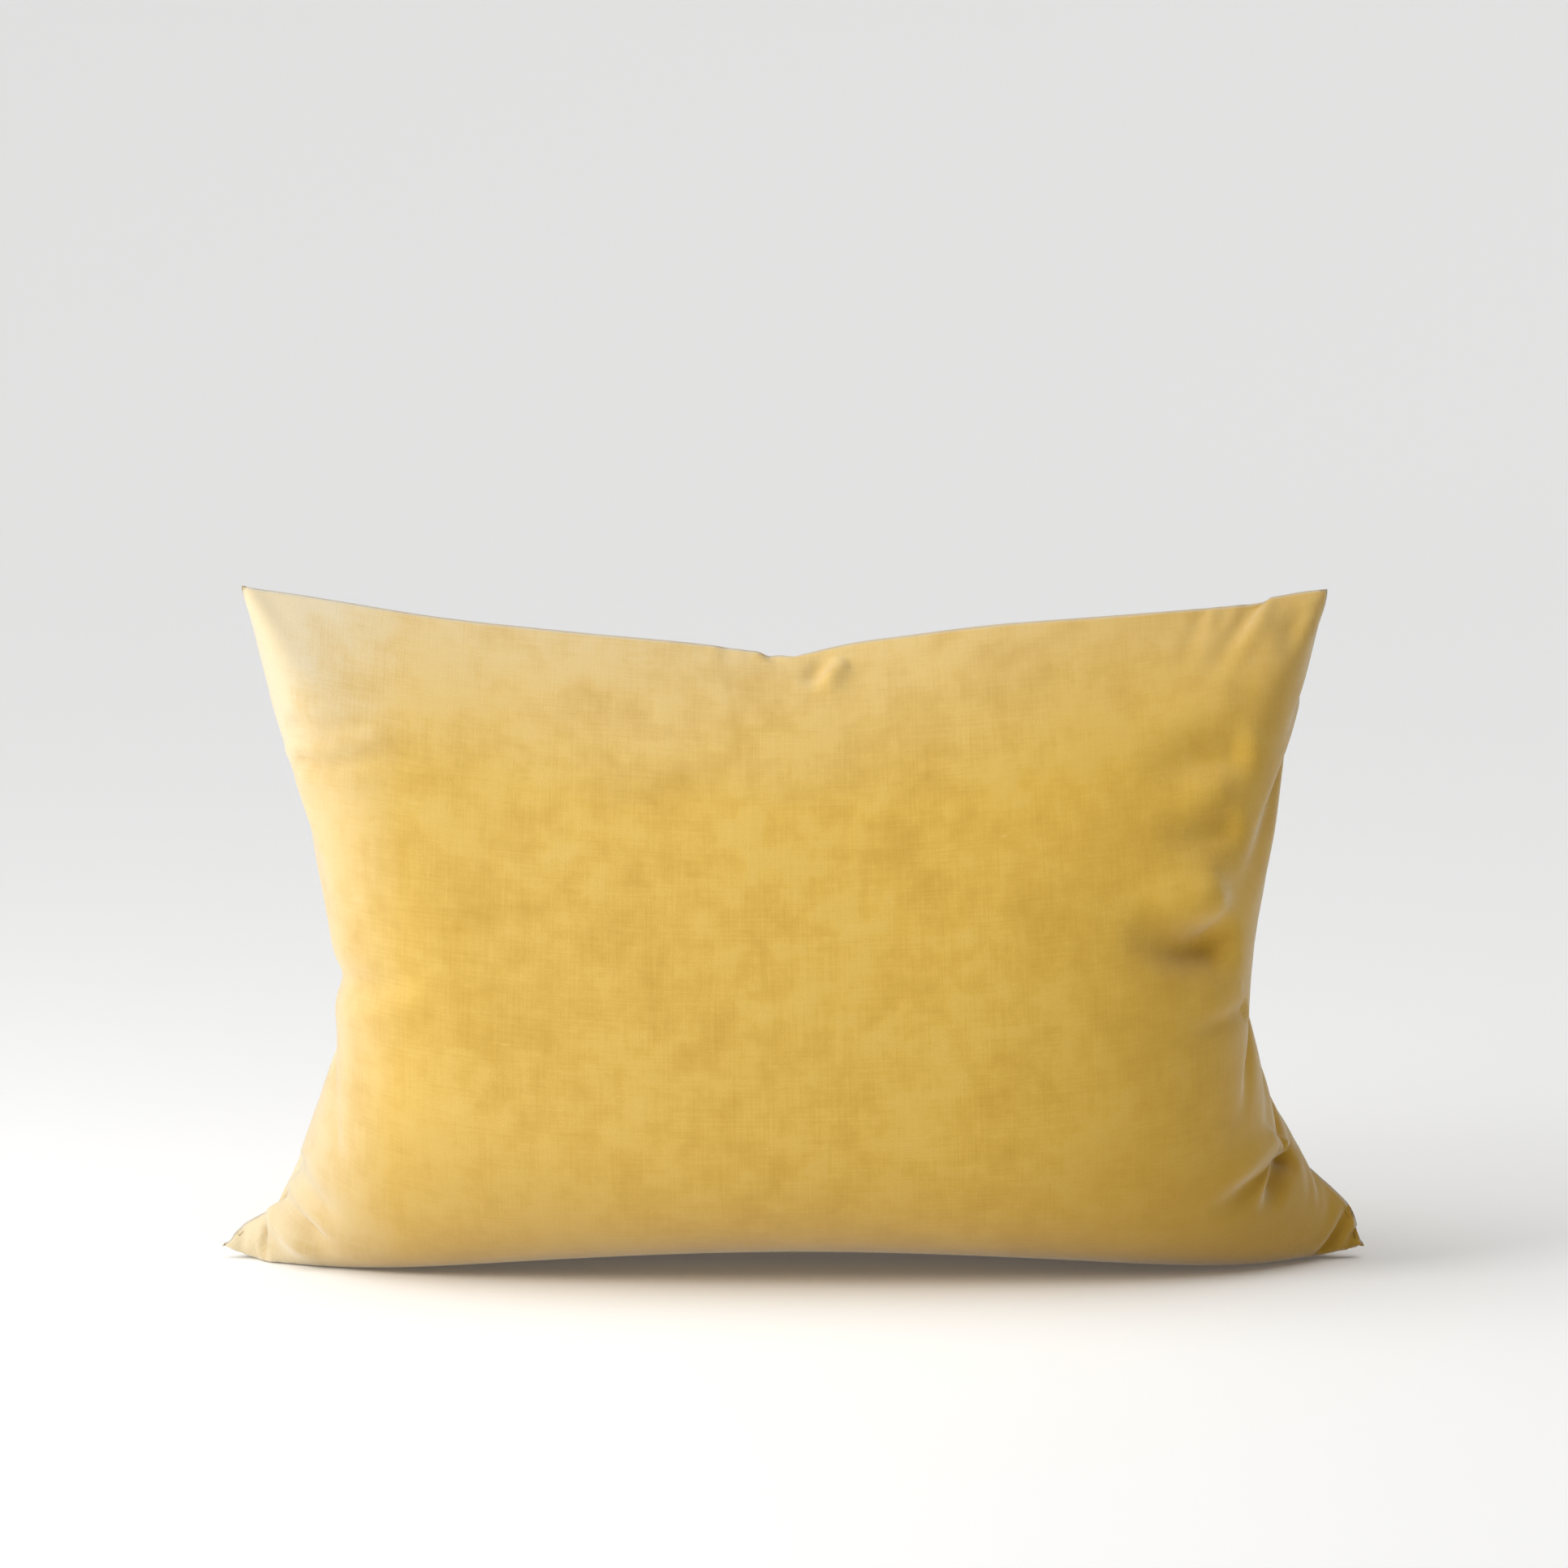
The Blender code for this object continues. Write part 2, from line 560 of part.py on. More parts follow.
def make_insert_seams(parent):
    thread = material("white_thread", TICKING_WHITE, 0.6)
    label = material("label_satin", LABEL_WHITE, 0.45)
    line = (STITCH_INSET, STITCH_INSET + STITCH_WIDTH)
    closing = CLOSING_LENGTH / BOTTOM_LENGTH
    start = closing + CLOSING_END
    steps = np.linspace(0, 1, SEAM_STEPS)
    one = np.ones(SEAM_STEPS)
    far = 1 - STITCH_CORNER
    bottom = -start + (start - far) * steps
    side = far + (STITCH_CORNER - far) * steps
    u = np.concatenate((bottom, -one, far * (2 * steps - 1), one, -bottom[::-1]))
    s = np.concatenate((one, side, 0 * one, side[::-1], one))
    insert_band("insert_seam_stitching", u, s, line, thread, parent)
    u = np.linspace(-closing, closing, SEAM_STEPS)
    insert_band("insert_closing_stitch", u, one, line, thread, parent)
    width, height = INSERT_LABEL
    u = INSERT_LABEL_AT + np.linspace(0, 1, 3) * width / (TOP_LENGTH / 2)
    insert_band("insert_label", u, np.zeros(3), (-height, STITCH_INSET - CLEARANCE), label, parent)


def make_care_label(parent):
    label = material("care_label_satin", LABEL_WHITE, 0.45)
    width, height = CARE_LABEL
    start = CARE_LABEL_AT * BOTTOM_LENGTH / 2
    inner_end = (start + width) / (BOTTOM_LENGTH / 2)
    low = bottom_lift(inner_end) + STITCH_INSET + STITCH_WIDTH + CLEARANCE
    flat = rectangle(-LABEL_CLOTH / 2, LABEL_CLOTH / 2, low, low + height)
    bar("cover_care_label", start, start + width, flat, label, parent)


def make_fill(parent):
    wadding = material("fill_wadding", WADDING_WHITE, 0.95)
    u, s = grid(INSERT_COLUMNS, INSERT_ROWS)
    offset = COVER_CLOTH + INSERT_CLEARANCE + TICKING_CLOTH + FILL_CLEARANCE
    inset = INSERT_SEAM_INSET + TICKING_SEAM + FILL_SEAM_INSET
    front = insert_front(u, s, inset, offset)
    columns, rows = INSERT_COLUMNS, INSERT_ROWS
    count = (columns + 1) * (rows + 1)
    numbers = border(np.arange(count).reshape(columns + 1, rows + 1))
    after = np.roll(numbers, -1)
    faces = grid_faces(columns, rows, 0, False) + grid_faces(columns, rows, count, True)
    faces += [tuple(int(n) for n in f) for f in zip(numbers, after, after + count, numbers + count)]
    points = np.concatenate((front.reshape(-1, 3), (front * (1, -1, 1)).reshape(-1, 3)))
    add_object("insert_fill", points, faces, wadding, parent)


# ---------------------------------------------------------------- the whole pillow

def build():
    clear_scene()
    pillow = bpy.data.objects.new("pillow", None)
    bpy.context.scene.collection.objects.link(pillow)
    make_cover(pillow)
    make_seams(pillow)
    make_zip(pillow)
    slider, pin_z = make_slider(pillow)
    make_tab(slider, pin_z)
    make_care_label(pillow)
    make_insert(pillow)
    make_insert_seams(pillow)
    make_fill(pillow)


build()
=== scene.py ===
import math

import bmesh
import bpy
import numpy as np
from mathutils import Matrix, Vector


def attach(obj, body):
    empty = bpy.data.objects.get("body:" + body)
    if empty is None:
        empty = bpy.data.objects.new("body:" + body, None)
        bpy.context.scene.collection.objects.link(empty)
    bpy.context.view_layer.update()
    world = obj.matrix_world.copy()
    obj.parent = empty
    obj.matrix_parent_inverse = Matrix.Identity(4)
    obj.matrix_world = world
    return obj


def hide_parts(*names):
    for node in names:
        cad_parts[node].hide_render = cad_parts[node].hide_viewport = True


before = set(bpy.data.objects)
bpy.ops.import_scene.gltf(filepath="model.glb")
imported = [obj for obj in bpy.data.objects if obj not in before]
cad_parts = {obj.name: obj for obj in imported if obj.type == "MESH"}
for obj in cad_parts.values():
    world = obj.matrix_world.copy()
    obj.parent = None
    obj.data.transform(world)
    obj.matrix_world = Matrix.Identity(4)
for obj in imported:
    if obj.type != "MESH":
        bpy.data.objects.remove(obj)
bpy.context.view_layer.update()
print("frame loaded:", len(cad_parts), "nodes")

# the cover as it is cut and how it is filled; lengths in metres
cover = {
    "flatLength": 0.602, "flatHeight": 0.384,    # one panel, seam to seam
    "topTaper": .034, "sideTaper": .008,         # how much shorter it is along the top and the sides
    "uneven": ((2.3, .0008, .4), (4.1, .0008, 2.0), (6.7, .0005, 5.1)),    # waves, size, phase
    "columns": 240, "rows": 160,
    "halfThickness": .088, "wall": .0009, "allowance": .010, "lift": .009,
    "weight": 9, "sag": 9, "drag": .95, "shear": .3,
    "unevenness": .0004, "wrinkleSeed": 7,
    "backShift": 3,                              # back panel beside the front one on the flat cloth
    "stages": ({"steps": 250, "push": .02, "bend": .1, "iterations": 6, "force": .0025},
               {"steps": 200, "push": .15, "bend": .2, "iterations": 6, "force": .0025},
               {"steps": 160, "push": .4, "bend": .3, "iterations": 6, "force": .0025},
               {"steps": 40, "push": .4, "bend": .3, "iterations": 5, "force": .0015}),
}

# folds pressed into the filled cover:
# panel, path (along, up), half width, depth, ridge beside it, fades at its ends
folds = (
    (0, ((.0060, .3010), (.0115, .3110), (.0190, .3200)), .0045, .0055, .7, (.6, .02)),
    (0, ((.228, .1790), (.200, .1765), (.160, .1850)), .0125, .0160, .55, (.2, .75)),
    (0, ((.232, .1400), (.212, .1350), (.196, .1360)), .0060, .0030, .4, (.02, .6)),
    (0, ((.236, .2760), (.205, .2700), (.172, .2640)), .0120, .0065, .30, (.2, .7)),
    (0, ((.230, .2380), (.206, .2330), (.180, .2340)), .0090, .0058, .35, (.2, .7)),
    (0, ((.262, .0630), (.250, .0450), (.2385, .0310)), .0045, .0060, .7, (.08, .5)),
    (0, ((.256, .0610), (.236, .0480), (.2100, .0350)), .0065, .0070, .5, (.05, .7)),
    (0, ((.262, .3450), (.256, .3320), (.252, .3120)), .0070, .0032, .4, (.05, .6)),
    (0, ((-.262, .2850), (-.240, .2830), (-.205, .2860)), .0055, .0042, .6, (.12, .7)),
    (0, ((-.256, .2680), (-.232, .2660), (-.205, .2670)), .0045, .0028, .5, (.12, .7)),
    (0, ((-.240, .1560), (-.210, .1570), (-.180, .1620)), .0090, .0035, .3, (.02, .7)),
    (0, ((-.270, .0380), (-.254, .0240), (-.236, .0110)), .0050, .0075, .6, (.02, .5)),
    (0, ((-.262, .0560), (-.250, .0400), (-.228, .0270)), .0070, .0050, .5, (.05, .6)),
    (1, ((-.236, .1750), (-.205, .1720), (-.165, .1790)), .0130, .0080, .4, (.02, .7)),
    (1, ((.262, .0540), (.238, .0430), (.205, .0300)), .0090, .0060, .4, (.02, .5)),
    (1, ((-.030, .3220), (-.024, .3080), (-.020, .2900)), .0075, .0035, .4, (.05, .6)),
)

# seam line of the standing pillow, (along, up) from the middle of its foot
seamLeft = ((-.2995, .006), (-.2920, .0165), (-.2760, .0240), (-.2610, .0330), (-.2510, .0500), (-.2420, .080),
            (-.229, .118), (-.2180, .156), (-.2230, .188), (-.2340, .222), (-.2480, .256), (-.2580, .2790),
            (-.2680, .2930), (-.2745, .3120), (-.2850, .3535))
seamRight = ((.2990, .006), (.2970, .0200), (.2840, .0350), (.2680, .0500), (.2590, .0690), (.2420, .096),
             (.2300, .128), (.2260, .152), (.2235, .172), (.2320, .202), (.2460, .242), (.2565, .284),
             (.2665, .3160), (.2730, .3390), (.2755, .3515))
seamTop = ((-.2850, .3535), (-.2500, .3480), (-.1850, .3375), (-.1170, .3300), (-.0480, .3235), (.0010, .3160),
           (.0200, .3225), (.0520, .3270), (.1020, .3335), (.1700, .3385), (.2360, .3440), (.2570, .3495),
           (.2680, .3530), (.2755, .3515))
seamBottom = ((-.2995, .006), (-.250, .0115), (-.205, .014), (0, .014),
              (.205, .014), (.250, .0115), (.2990, .006))


def smoothPath(points, count):
    # Catmull-Rom curve through the points, read at evenly spaced arc lengths.
    p = np.array(points, float)
    padded = np.vstack((2 * p[0] - p[1], p, 2 * p[-1] - p[-2]))
    t = np.linspace(0, len(p) - 1, 40 * len(p))
    k = np.clip(t.astype(int), 0, len(p) - 2)
    f = (t - k)[:, None]
    a, b, c, d = (padded[k + n] for n in range(4))
    curve = b + .5 * f * ((c - a) + f * ((2 * a - 5 * b + 4 * c - d) + f * (3 * (b - c) + d - a)))
    run = np.concatenate(([0], np.cumsum(np.linalg.norm(np.diff(curve, axis=0), axis=1))))
    at = np.linspace(0, run[-1], count)
    return np.stack([np.interp(at, run, curve[:, n]) for n in range(curve.shape[1])], axis=1)


def blurred(values, times):
    # Each value averaged with its two neighbours, so many times; the ends stay.
    values = values.copy()
    for _ in range(times):
        values[1:-1] = .25 * values[:-2] + .5 * values[1:-1] + .25 * values[2:]
    return values


def flatPanel(n, m):
    # Where the threads' crossings lie in the flat panel: a little shorter along the top and the sides.
    a, b = np.meshgrid(np.linspace(0, 1, n + 1), np.linspace(0, 1, m + 1), indexing="ij")
    width = cover["flatLength"] - cover["topTaper"] * b ** 3
    height = cover["flatHeight"] - cover["sideTaper"] * np.abs(2 * a - 1) ** 6
    x, z = (a - .5) * width, b * height
    for waves, size, phase in cover["uneven"]:    # hand-sewn seams gather the cloth unevenly
        x = x + size * np.sin(2 * math.pi * waves * a + phase) * b ** 2
        z = z + size * np.sin(2 * math.pi * waves * b + 2 * phase) * (2 * a - 1) ** 4
    return np.stack((x, z), -1)


def threads(flat, across, up, pull, push):
    # All pairs of points (across, up) cells apart: their slices, rest lengths and stiffness.
    n, m, _ = flat.shape
    one = (slice(0, n - across), slice(max(-up, 0), m - max(up, 0)))
    two = (slice(across, n), slice(max(up, 0), m + min(up, 0)))
    rest = np.linalg.norm(flat[two] - flat[one], axis=-1)[None, ..., None]
    every = (slice(None),)
    return every + one, every + two, rest, .5 * pull, .5 * push


def pullThreads(cloth, one, two, rest, pull, push):
    # Move both ends of every thread towards its rest length.
    gap = cloth[two] - cloth[one]
    error = 1 - rest / (np.sqrt(np.einsum("...k,...k", gap, gap))[..., None] + 1e-9)
    gap *= np.where(error > 0, pull, push) * error
    cloth[one] += gap
    cloth[two] -= gap


def outward(cloth):
    # Area-weighted outward normals of the front (first) and back (second) panel.
    normal = np.cross(np.gradient(cloth, axis=1), np.gradient(cloth, axis=2))
    normal[1] *= -1
    return normal


def doubled(values, axis):
    # The same grid with a point halfway between every two neighbours.
    values = np.moveaxis(values, axis, 0)
    out = np.empty((2 * len(values) - 1, *values.shape[1:]))
    out[::2] = values
    out[1::2] = .5 * (values[1:] + values[:-1])
    return np.moveaxis(out, 0, axis)


def startShape(n, m):
    # Two smooth bulges inside the seam line, as grids of points (panel, along, up, xyz).
    left, right = smoothPath(seamLeft, m + 1), smoothPath(seamRight, m + 1)
    top, bottom = smoothPath(seamTop, n + 1), smoothPath(seamBottom, n + 1)
    a, b = np.meshgrid(np.linspace(0, 1, n + 1), np.linspace(0, 1, m + 1), indexing="ij")
    a3, b3 = a[..., None], b[..., None]
    plane = ((1 - b3) * bottom[:, None] + b3 * top[:, None] + (1 - a3) * left[None] + a3 * right[None]
             - (1 - a3) * (1 - b3) * left[0] - a3 * (1 - b3) * right[0] - (1 - a3) * b3 * left[-1]
             - a3 * b3 * right[-1])
    bulge = np.clip(1 - np.abs(2 * a - 1) ** 4, 0, 1) ** .5
    bulge = bulge * np.clip(1 - np.abs(2 * b - 1) ** 2.2, 0, 1) ** .6
    depth = cover["halfThickness"] * bulge
    return np.stack([np.stack((plane[..., 0], side * depth, plane[..., 1]), -1) for side in (-1, 1)])


def relax(cloth, steps, push, bend, iterations, force):
    # Let the cloth settle under the pressure of the filling.
    n, m = cloth.shape[1] - 1, cloth.shape[2] - 1
    flat = flatPanel(n, m)
    cell = cover["flatLength"] / n
    area = cell * cover["flatHeight"] / m
    shear = cover["shear"]
    weave = (threads(flat, 1, 0, .9, push), threads(flat, 0, 1, .9, push),
             threads(flat, 1, 1, shear, shear * push), threads(flat, 1, -1, shear, shear * push),
             threads(flat, 2, 0, 0, bend), threads(flat, 0, 2, 0, bend))
    left, right = smoothPath(seamLeft, m + 1), smoothPath(seamRight, m + 1)
    top, bottom = smoothPath(seamTop, n + 1), smoothPath(seamBottom, n + 1)
    targets = ((np.s_[0, :], left), (np.s_[-1, :], right), (np.s_[:, -1], top))
    sag = cover["sag"] * (.15 + .85 * np.abs(np.linspace(-1, 1, n + 1)) ** 1.5)[None, :, None]
    before = cloth.copy()
    for step in range(steps):
        speed = cover["drag"] * (cloth - before)
        before = cloth.copy()
        normal = outward(cloth)
        volume = (cloth * normal).sum() / 3
        level = np.clip(1 - cloth[..., 2:3] / .32, 0, 1)
        pressure = 1 + cover["weight"] * level ** 3
        cloth += speed + normal / area * pressure * force * cell
        cloth[..., 2] -= sag * level[..., 0] ** 8 * force * cell
        for _ in range(iterations):
            for pairs in weave:
                pullThreads(cloth, *pairs)
            for edge in (np.s_[0, :], np.s_[-1, :], np.s_[:, 0], np.s_[:, -1]):
                seam = .5 * (cloth[0][edge] + cloth[1][edge])
                cloth[0][edge] = seam
                cloth[1][edge] = seam
        for edge, target in targets:
            seam = cloth[0][edge]
            off = np.stack((target[:, 0] - seam[:, 0], -seam[:, 1], target[:, 1] - seam[:, 2]), -1)
            off = .4 * blurred(off, max(2, int(5 * (.01 / cell) ** 2)))
            for side in (0, 1):
                cloth[side][edge] += off
        for side in (0, 1):
            cloth[side][:, 0, 0] = bottom[:, 0]
            cloth[side][:, 0, 1] *= .2
            cloth[side][:, 0, 2] = bottom[:, 1]
        floor = cloth[..., 2] < 0
        cloth[..., 2] = np.where(floor, 0, cloth[..., 2])
        before[floor] = cloth[floor]
    stretch = [np.linalg.norm(np.diff(cloth, axis=k + 1), axis=-1)
               / np.linalg.norm(np.diff(flat, axis=k), axis=-1) for k in (0, 1)]
    middle = np.s_[:, n // 4:-n // 4, m // 4:-m // 4]
    print("grid %d x %d: %.1f litres, %.0f mm thick, stretch %.3f %.3f" % (
        n, m, volume * 1000, np.ptp(cloth[..., 1]) * 1000, *(part[middle].mean() for part in stretch)))


def fillCover():
    # Blow the two flat panels up inside their seam line, standing on the floor.
    # A grid of points per panel, with threads between neighbours that hardly stretch, is pushed out by the
    # filling's pressure, which is higher near the floor, and held at the seam only on the large scale,
    # so the cloth that is too long for the seam gathers into its own puckers.
    rng = np.random.default_rng(cover["wrinkleSeed"])
    cloth = startShape(cover["columns"] // 8, cover["rows"] // 8)
    for stage, settings in enumerate(cover["stages"]):
        if stage:
            cloth = doubled(doubled(cloth, 1), 2)
        cloth += rng.normal(0, cover["unevenness"], cloth.shape)
        relax(cloth, **settings)
    return cloth


def unitNormals(panel, side):
    # Outward unit normals of one panel, softened over a few cells so that they are steady at the seam.
    normal = np.cross(np.gradient(panel, axis=0), np.gradient(panel, axis=1)) * (1 if side == 0 else -1)
    for axis in (0, 1):
        normal = np.moveaxis(blurred(np.moveaxis(normal, axis, 0), 6), 0, axis)
    return normal / (np.linalg.norm(normal, axis=-1, keepdims=True) + 1e-12)


def seamFade(n, m, cells):
    # 0 on the seam, rising smoothly to 1 so many cells in.
    a, b = np.meshgrid(np.arange(n + 1), np.arange(m + 1), indexing="ij")
    near = np.minimum(np.minimum(a, n - a), np.minimum(b, m - b)) / cells
    near = np.clip(near, 0, 1)
    return near * near * (3 - 2 * near)


def ironOut(cloth, side, spot, radius, times):
    # The panel smoothed round the spot: mixed with its blurred self by exp(-(distance / radius)^2).
    panel = cloth[side]
    soft = panel
    for axis in (0, 1):
        soft = np.moveaxis(blurred(np.moveaxis(soft, axis, 0), times), 0, axis)
    away = np.hypot(panel[..., 0] - spot[0], panel[..., 2] - spot[1])
    share = np.exp(-(away / radius) ** 2) * seamFade(panel.shape[0] - 1, panel.shape[1] - 1, 4)
    panel += (soft - panel) * share[..., None]


def pressFolds(cloth):
    # Each fold is a valley with a lower ridge beside it, pressed along a curve into its panel:
    # depth times (-exp(-(s / w)^2) + ridge exp(-((s + 1.9 w) / 1.2 w)^2)),
    # s being the distance from the curve, positive on its left.
    _, n, m, _ = cloth.shape
    fade = seamFade(n - 1, m - 1, 9)
    for side, path, width, depth, ridge, (fadeIn, fadeOut) in folds:
        panel = cloth[side]
        line = smoothPath(path, 60)
        run = np.gradient(line, axis=0)
        run /= np.linalg.norm(run, axis=1, keepdims=True)
        spot = panel[..., (0, 2)].reshape(-1, 2)
        gap = spot[:, None] - line[None]
        nearest = (gap ** 2).sum(-1).argmin(1)
        pick = gap[np.arange(len(spot)), nearest]
        away = np.linalg.norm(pick, axis=1)
        signed = away * np.sign(run[nearest, 0] * pick[:, 1] - run[nearest, 1] * pick[:, 0])
        t = nearest / 59
        strength = np.clip(t / fadeIn, 0, 1) * np.clip((1 - t) / fadeOut, 0, 1)
        strength = strength * strength * (3 - 2 * strength)
        beside = (signed + 1.9 * width) / (1.2 * width)
        shape = -np.exp(-(away / width) ** 2) + ridge * np.exp(-beside ** 2)
        move = (depth * shape * strength).reshape(n, m) * fade
        panel += unitNormals(panel, side) * move[..., None]


def liftFoot(cloth):
    # The foot arches clear of the floor between its two ends, but for the seam, which stays straight.
    x, y, z = (cloth[..., k] for k in range(3))
    arch = np.clip(1 - (x / .24) ** 2, 0, 1) ** 1.5 * np.exp(-(z / .045) ** 2)
    cloth[..., 2] += cover["lift"] * arch * np.clip((np.abs(y) - .008) / .02, 0, 1)
    cloth[..., 2] = np.maximum(cloth[..., 2], .0004)


def seamLoop(panel):
    # The panel's border as a closed loop: along the foot, up the right, back along the top, down the left.
    return np.concatenate((panel[:-1, 0], panel[-1, :-1], panel[:0:-1, -1], panel[0, :0:-1]))


def inward(loop, distance, smooth=0):
    # The loop moved towards the inside of the pillow, in the plane of the seam; smoothing cuts its corners.
    for _ in range(smooth):
        loop = .25 * np.roll(loop, 1, 0) + .5 * loop + .25 * np.roll(loop, -1, 0)
    run = np.roll(loop, -1, 0) - np.roll(loop, 1, 0)
    run /= np.linalg.norm(run[:, (0, 2)], axis=1, keepdims=True)
    return loop + np.reshape(distance, (-1, 1)) * np.stack((-run[:, 2], 0 * run[:, 0], run[:, 0]), -1)


def cornerRoom(loop, reach=.055):
    # 0 at the pillow's corners, where there is no room for the allowance, to 1 so far from them.
    tips = np.array([seamLeft[0], seamRight[0], seamLeft[-1], seamRight[-1]])
    gap = np.linalg.norm(loop[:, None, (0, 2)] - tips[None], axis=-1).min(1)
    return np.clip(gap / reach - .25, 0, 1)


def zipShare(x, inner=.190, outer=.202):
    # 1 along the zip, 0 beyond its ends.
    return np.clip((outer - np.abs(x)) / (outer - inner), 0, 1)


def halfGap(loop, plain, open):
    # Half the gap between the panels: wider where the zip's tapes pass between them.
    alongFoot = (loop[:, 2] < .03) * zipShare(loop[:, 0])
    return plain + (open - plain) * alongFoot


def addMesh(name, points, faces, uvs=None, smooth=True):
    mesh = bpy.data.meshes.new(name)
    mesh.from_pydata(points.tolist(), [], faces if isinstance(faces, list) else faces.tolist())
    if uvs is not None:
        layer = mesh.uv_layers.new(name="clothMap")
        corner = np.empty(len(mesh.loops), dtype=np.int32)
        mesh.loops.foreach_get("vertex_index", corner)
        layer.data.foreach_set("uv", uvs[corner].astype(np.float32).ravel())
    if smooth:
        mesh.shade_smooth()
    piece = bpy.data.objects.new(name, mesh)
    bpy.context.scene.collection.objects.link(piece)
    return piece


def ringFaces(rings, count, start=0):
    # Quads between neighbouring closed rings of count points each, and from the last ring to the first.
    k = np.arange(count)
    after = (k + 1) % count
    quads = []
    for one in range(rings):
        two = (one + 1) % rings
        here, there = one * count, two * count
        quads.append(np.stack((here + after, here + k, there + k, there + after), -1))
    return np.concatenate(quads) + start


def makePanel(name, cloth, side):
    # One sewn velvet panel as a closed shell: the outside, the inside one wall in, and the turned-in seam
    # allowance behind the seam.
    sign = (-1, 1)[side]
    outer = cloth[side].copy()
    n, m = outer.shape[0] - 1, outer.shape[1] - 1
    loop = seamLoop(outer)
    rim = halfGap(loop, .0002, .0017)
    index = np.arange((n + 1) * (m + 1)).reshape(n + 1, m + 1)
    border = seamLoop(index[..., None])[:, 0]
    depth = np.abs(outer[..., 1])
    edgeGap = np.zeros((n + 1) * (m + 1))
    edgeGap[border] = rim
    outer[..., 1] = sign * np.maximum(depth * (1 - np.isin(index, border)), .0003)
    flatOuter = outer.reshape(-1, 3)
    flatOuter[border, 1] = sign * rim
    nearZip = zipShare(outer[..., 0]) * (outer[..., 2] < .03)
    outer[..., 1] = sign * np.maximum(np.abs(outer[..., 1]), .0017 * nearZip)
    outer = flatOuter.reshape(outer.shape)
    inner = outer - unitNormals(outer, side) * cover["wall"]
    inner[..., 1] = sign * np.maximum(sign * inner[..., 1], .0001)
    flatInner = inner.reshape(-1, 3)
    flatInner[border] = inward(outer.reshape(-1, 3)[border], .0012)
    flatInner[border, 1] = sign * (rim + .0002)
    quads = np.stack((index[:-1, :-1], index[1:, :-1], index[1:, 1:], index[:-1, 1:]), -1).reshape(-1, 4)
    count = index.size
    k = np.arange(len(border))
    after = np.roll(k, -1)
    edge = np.stack((border[after], border[k], border[k] + count, border[after] + count), -1)
    points = [outer.reshape(-1, 3), flatInner]
    faces = [quads, quads[:, ::-1] + count, edge]
    start = 2 * count
    base = inward(loop, .0015, 14)
    deep = inward(loop, .002 + (cover["allowance"] - .002) * cornerRoom(loop), 14)
    gap = halfGap(base, .0002, .00075)
    for ring, out in ((base, 0), (deep, 0), (deep, .0008), (base, .0008)):
        ring = ring.copy()
        ring[:, 1] = sign * (gap + out)
        points.append(ring)
    faces.append(ringFaces(4, len(loop), start))
    flat = flatPanel(n, m).reshape(-1, 2)
    flat = flat + (cover["backShift"] * side, 0)
    uvs = np.concatenate((flat, flat, *[flat[border]] * 4))
    faces = np.concatenate(faces)
    return addMesh(name, np.concatenate(points), faces if side == 0 else faces[:, ::-1], uvs)


def tube(name, path, radius, sides=6, closed=False, reference=(0, 1, 0)):
    # A round thread along the path: at each point a circle of the radius, square to the path.
    run = np.roll(path, -1, 0) - np.roll(path, 1, 0)
    if not closed:
        run[0], run[-1] = path[1] - path[0], path[-1] - path[-2]
    run /= np.linalg.norm(run, axis=1, keepdims=True)
    one = np.array(reference, float) - run * (run @ np.array(reference, float))[:, None]
    one /= np.linalg.norm(one, axis=1, keepdims=True)
    two = np.cross(run, one)
    turn = np.linspace(0, 2 * math.pi, sides, endpoint=False)
    points = (path[:, None] + radius * (np.cos(turn)[None, :, None] * one[:, None]
                                        + np.sin(turn)[None, :, None] * two[:, None]))
    k = np.arange(len(path) if closed else len(path) - 1)[:, None]
    after = (k + 1) % len(path)
    j = np.arange(sides)[None]
    nextJ = (j + 1) % sides
    faces = np.stack((k * sides + j, k * sides + nextJ, after * sides + nextJ, after * sides + j), -1)
    faces = faces.reshape(-1, 4)[:, ::-1].tolist()
    if not closed:
        faces.append(list(range(sides)))
        faces.append(list(range(len(path) * sides - 1, (len(path) - 1) * sides - 1, -1)))
    return addMesh(name, points.reshape(-1, 3), faces)


def evenly(path, step):
    # The same path with points so far apart.
    run = np.concatenate(([0], np.cumsum(np.linalg.norm(np.diff(path, axis=0), axis=1))))
    at = np.arange(0, run[-1], step)
    return np.stack([np.interp(at, run, path[:, k]) for k in range(3)], -1), at


def aroundFromZip(loop):
    # The seam from one end of the zip, round the pillow, to its other end.
    foot = np.nonzero((loop[:, 2] < .03) & (np.abs(loop[:, 0]) < .2))[0]
    return np.roll(loop, -(foot.max() + 1), 0)[:len(loop) - (foot.max() - foot.min() + 1)]


thread = {"stitch": .003, "radius": .00024, "reach": .00085, "depth": .0022}
overlock = {"pitch": .0026, "radius": .00028, "reach": .0015, "halfWidth": .0021}


def makeSeamThread(cloth):
    # Lockstitch: the thread swings from one face of the two layers to the other, once each way a stitch.
    path = aroundFromZip(inward(seamLoop(cloth[0]), thread["depth"], 10))
    path[:, 1] = 0
    path, at = evenly(path, thread["stitch"] / 8)
    path[:, 1] = thread["reach"] * np.sin(2 * math.pi * at / thread["stitch"])
    return tube("seamThread", path, thread["radius"], 5, reference=(0, .2, 1))


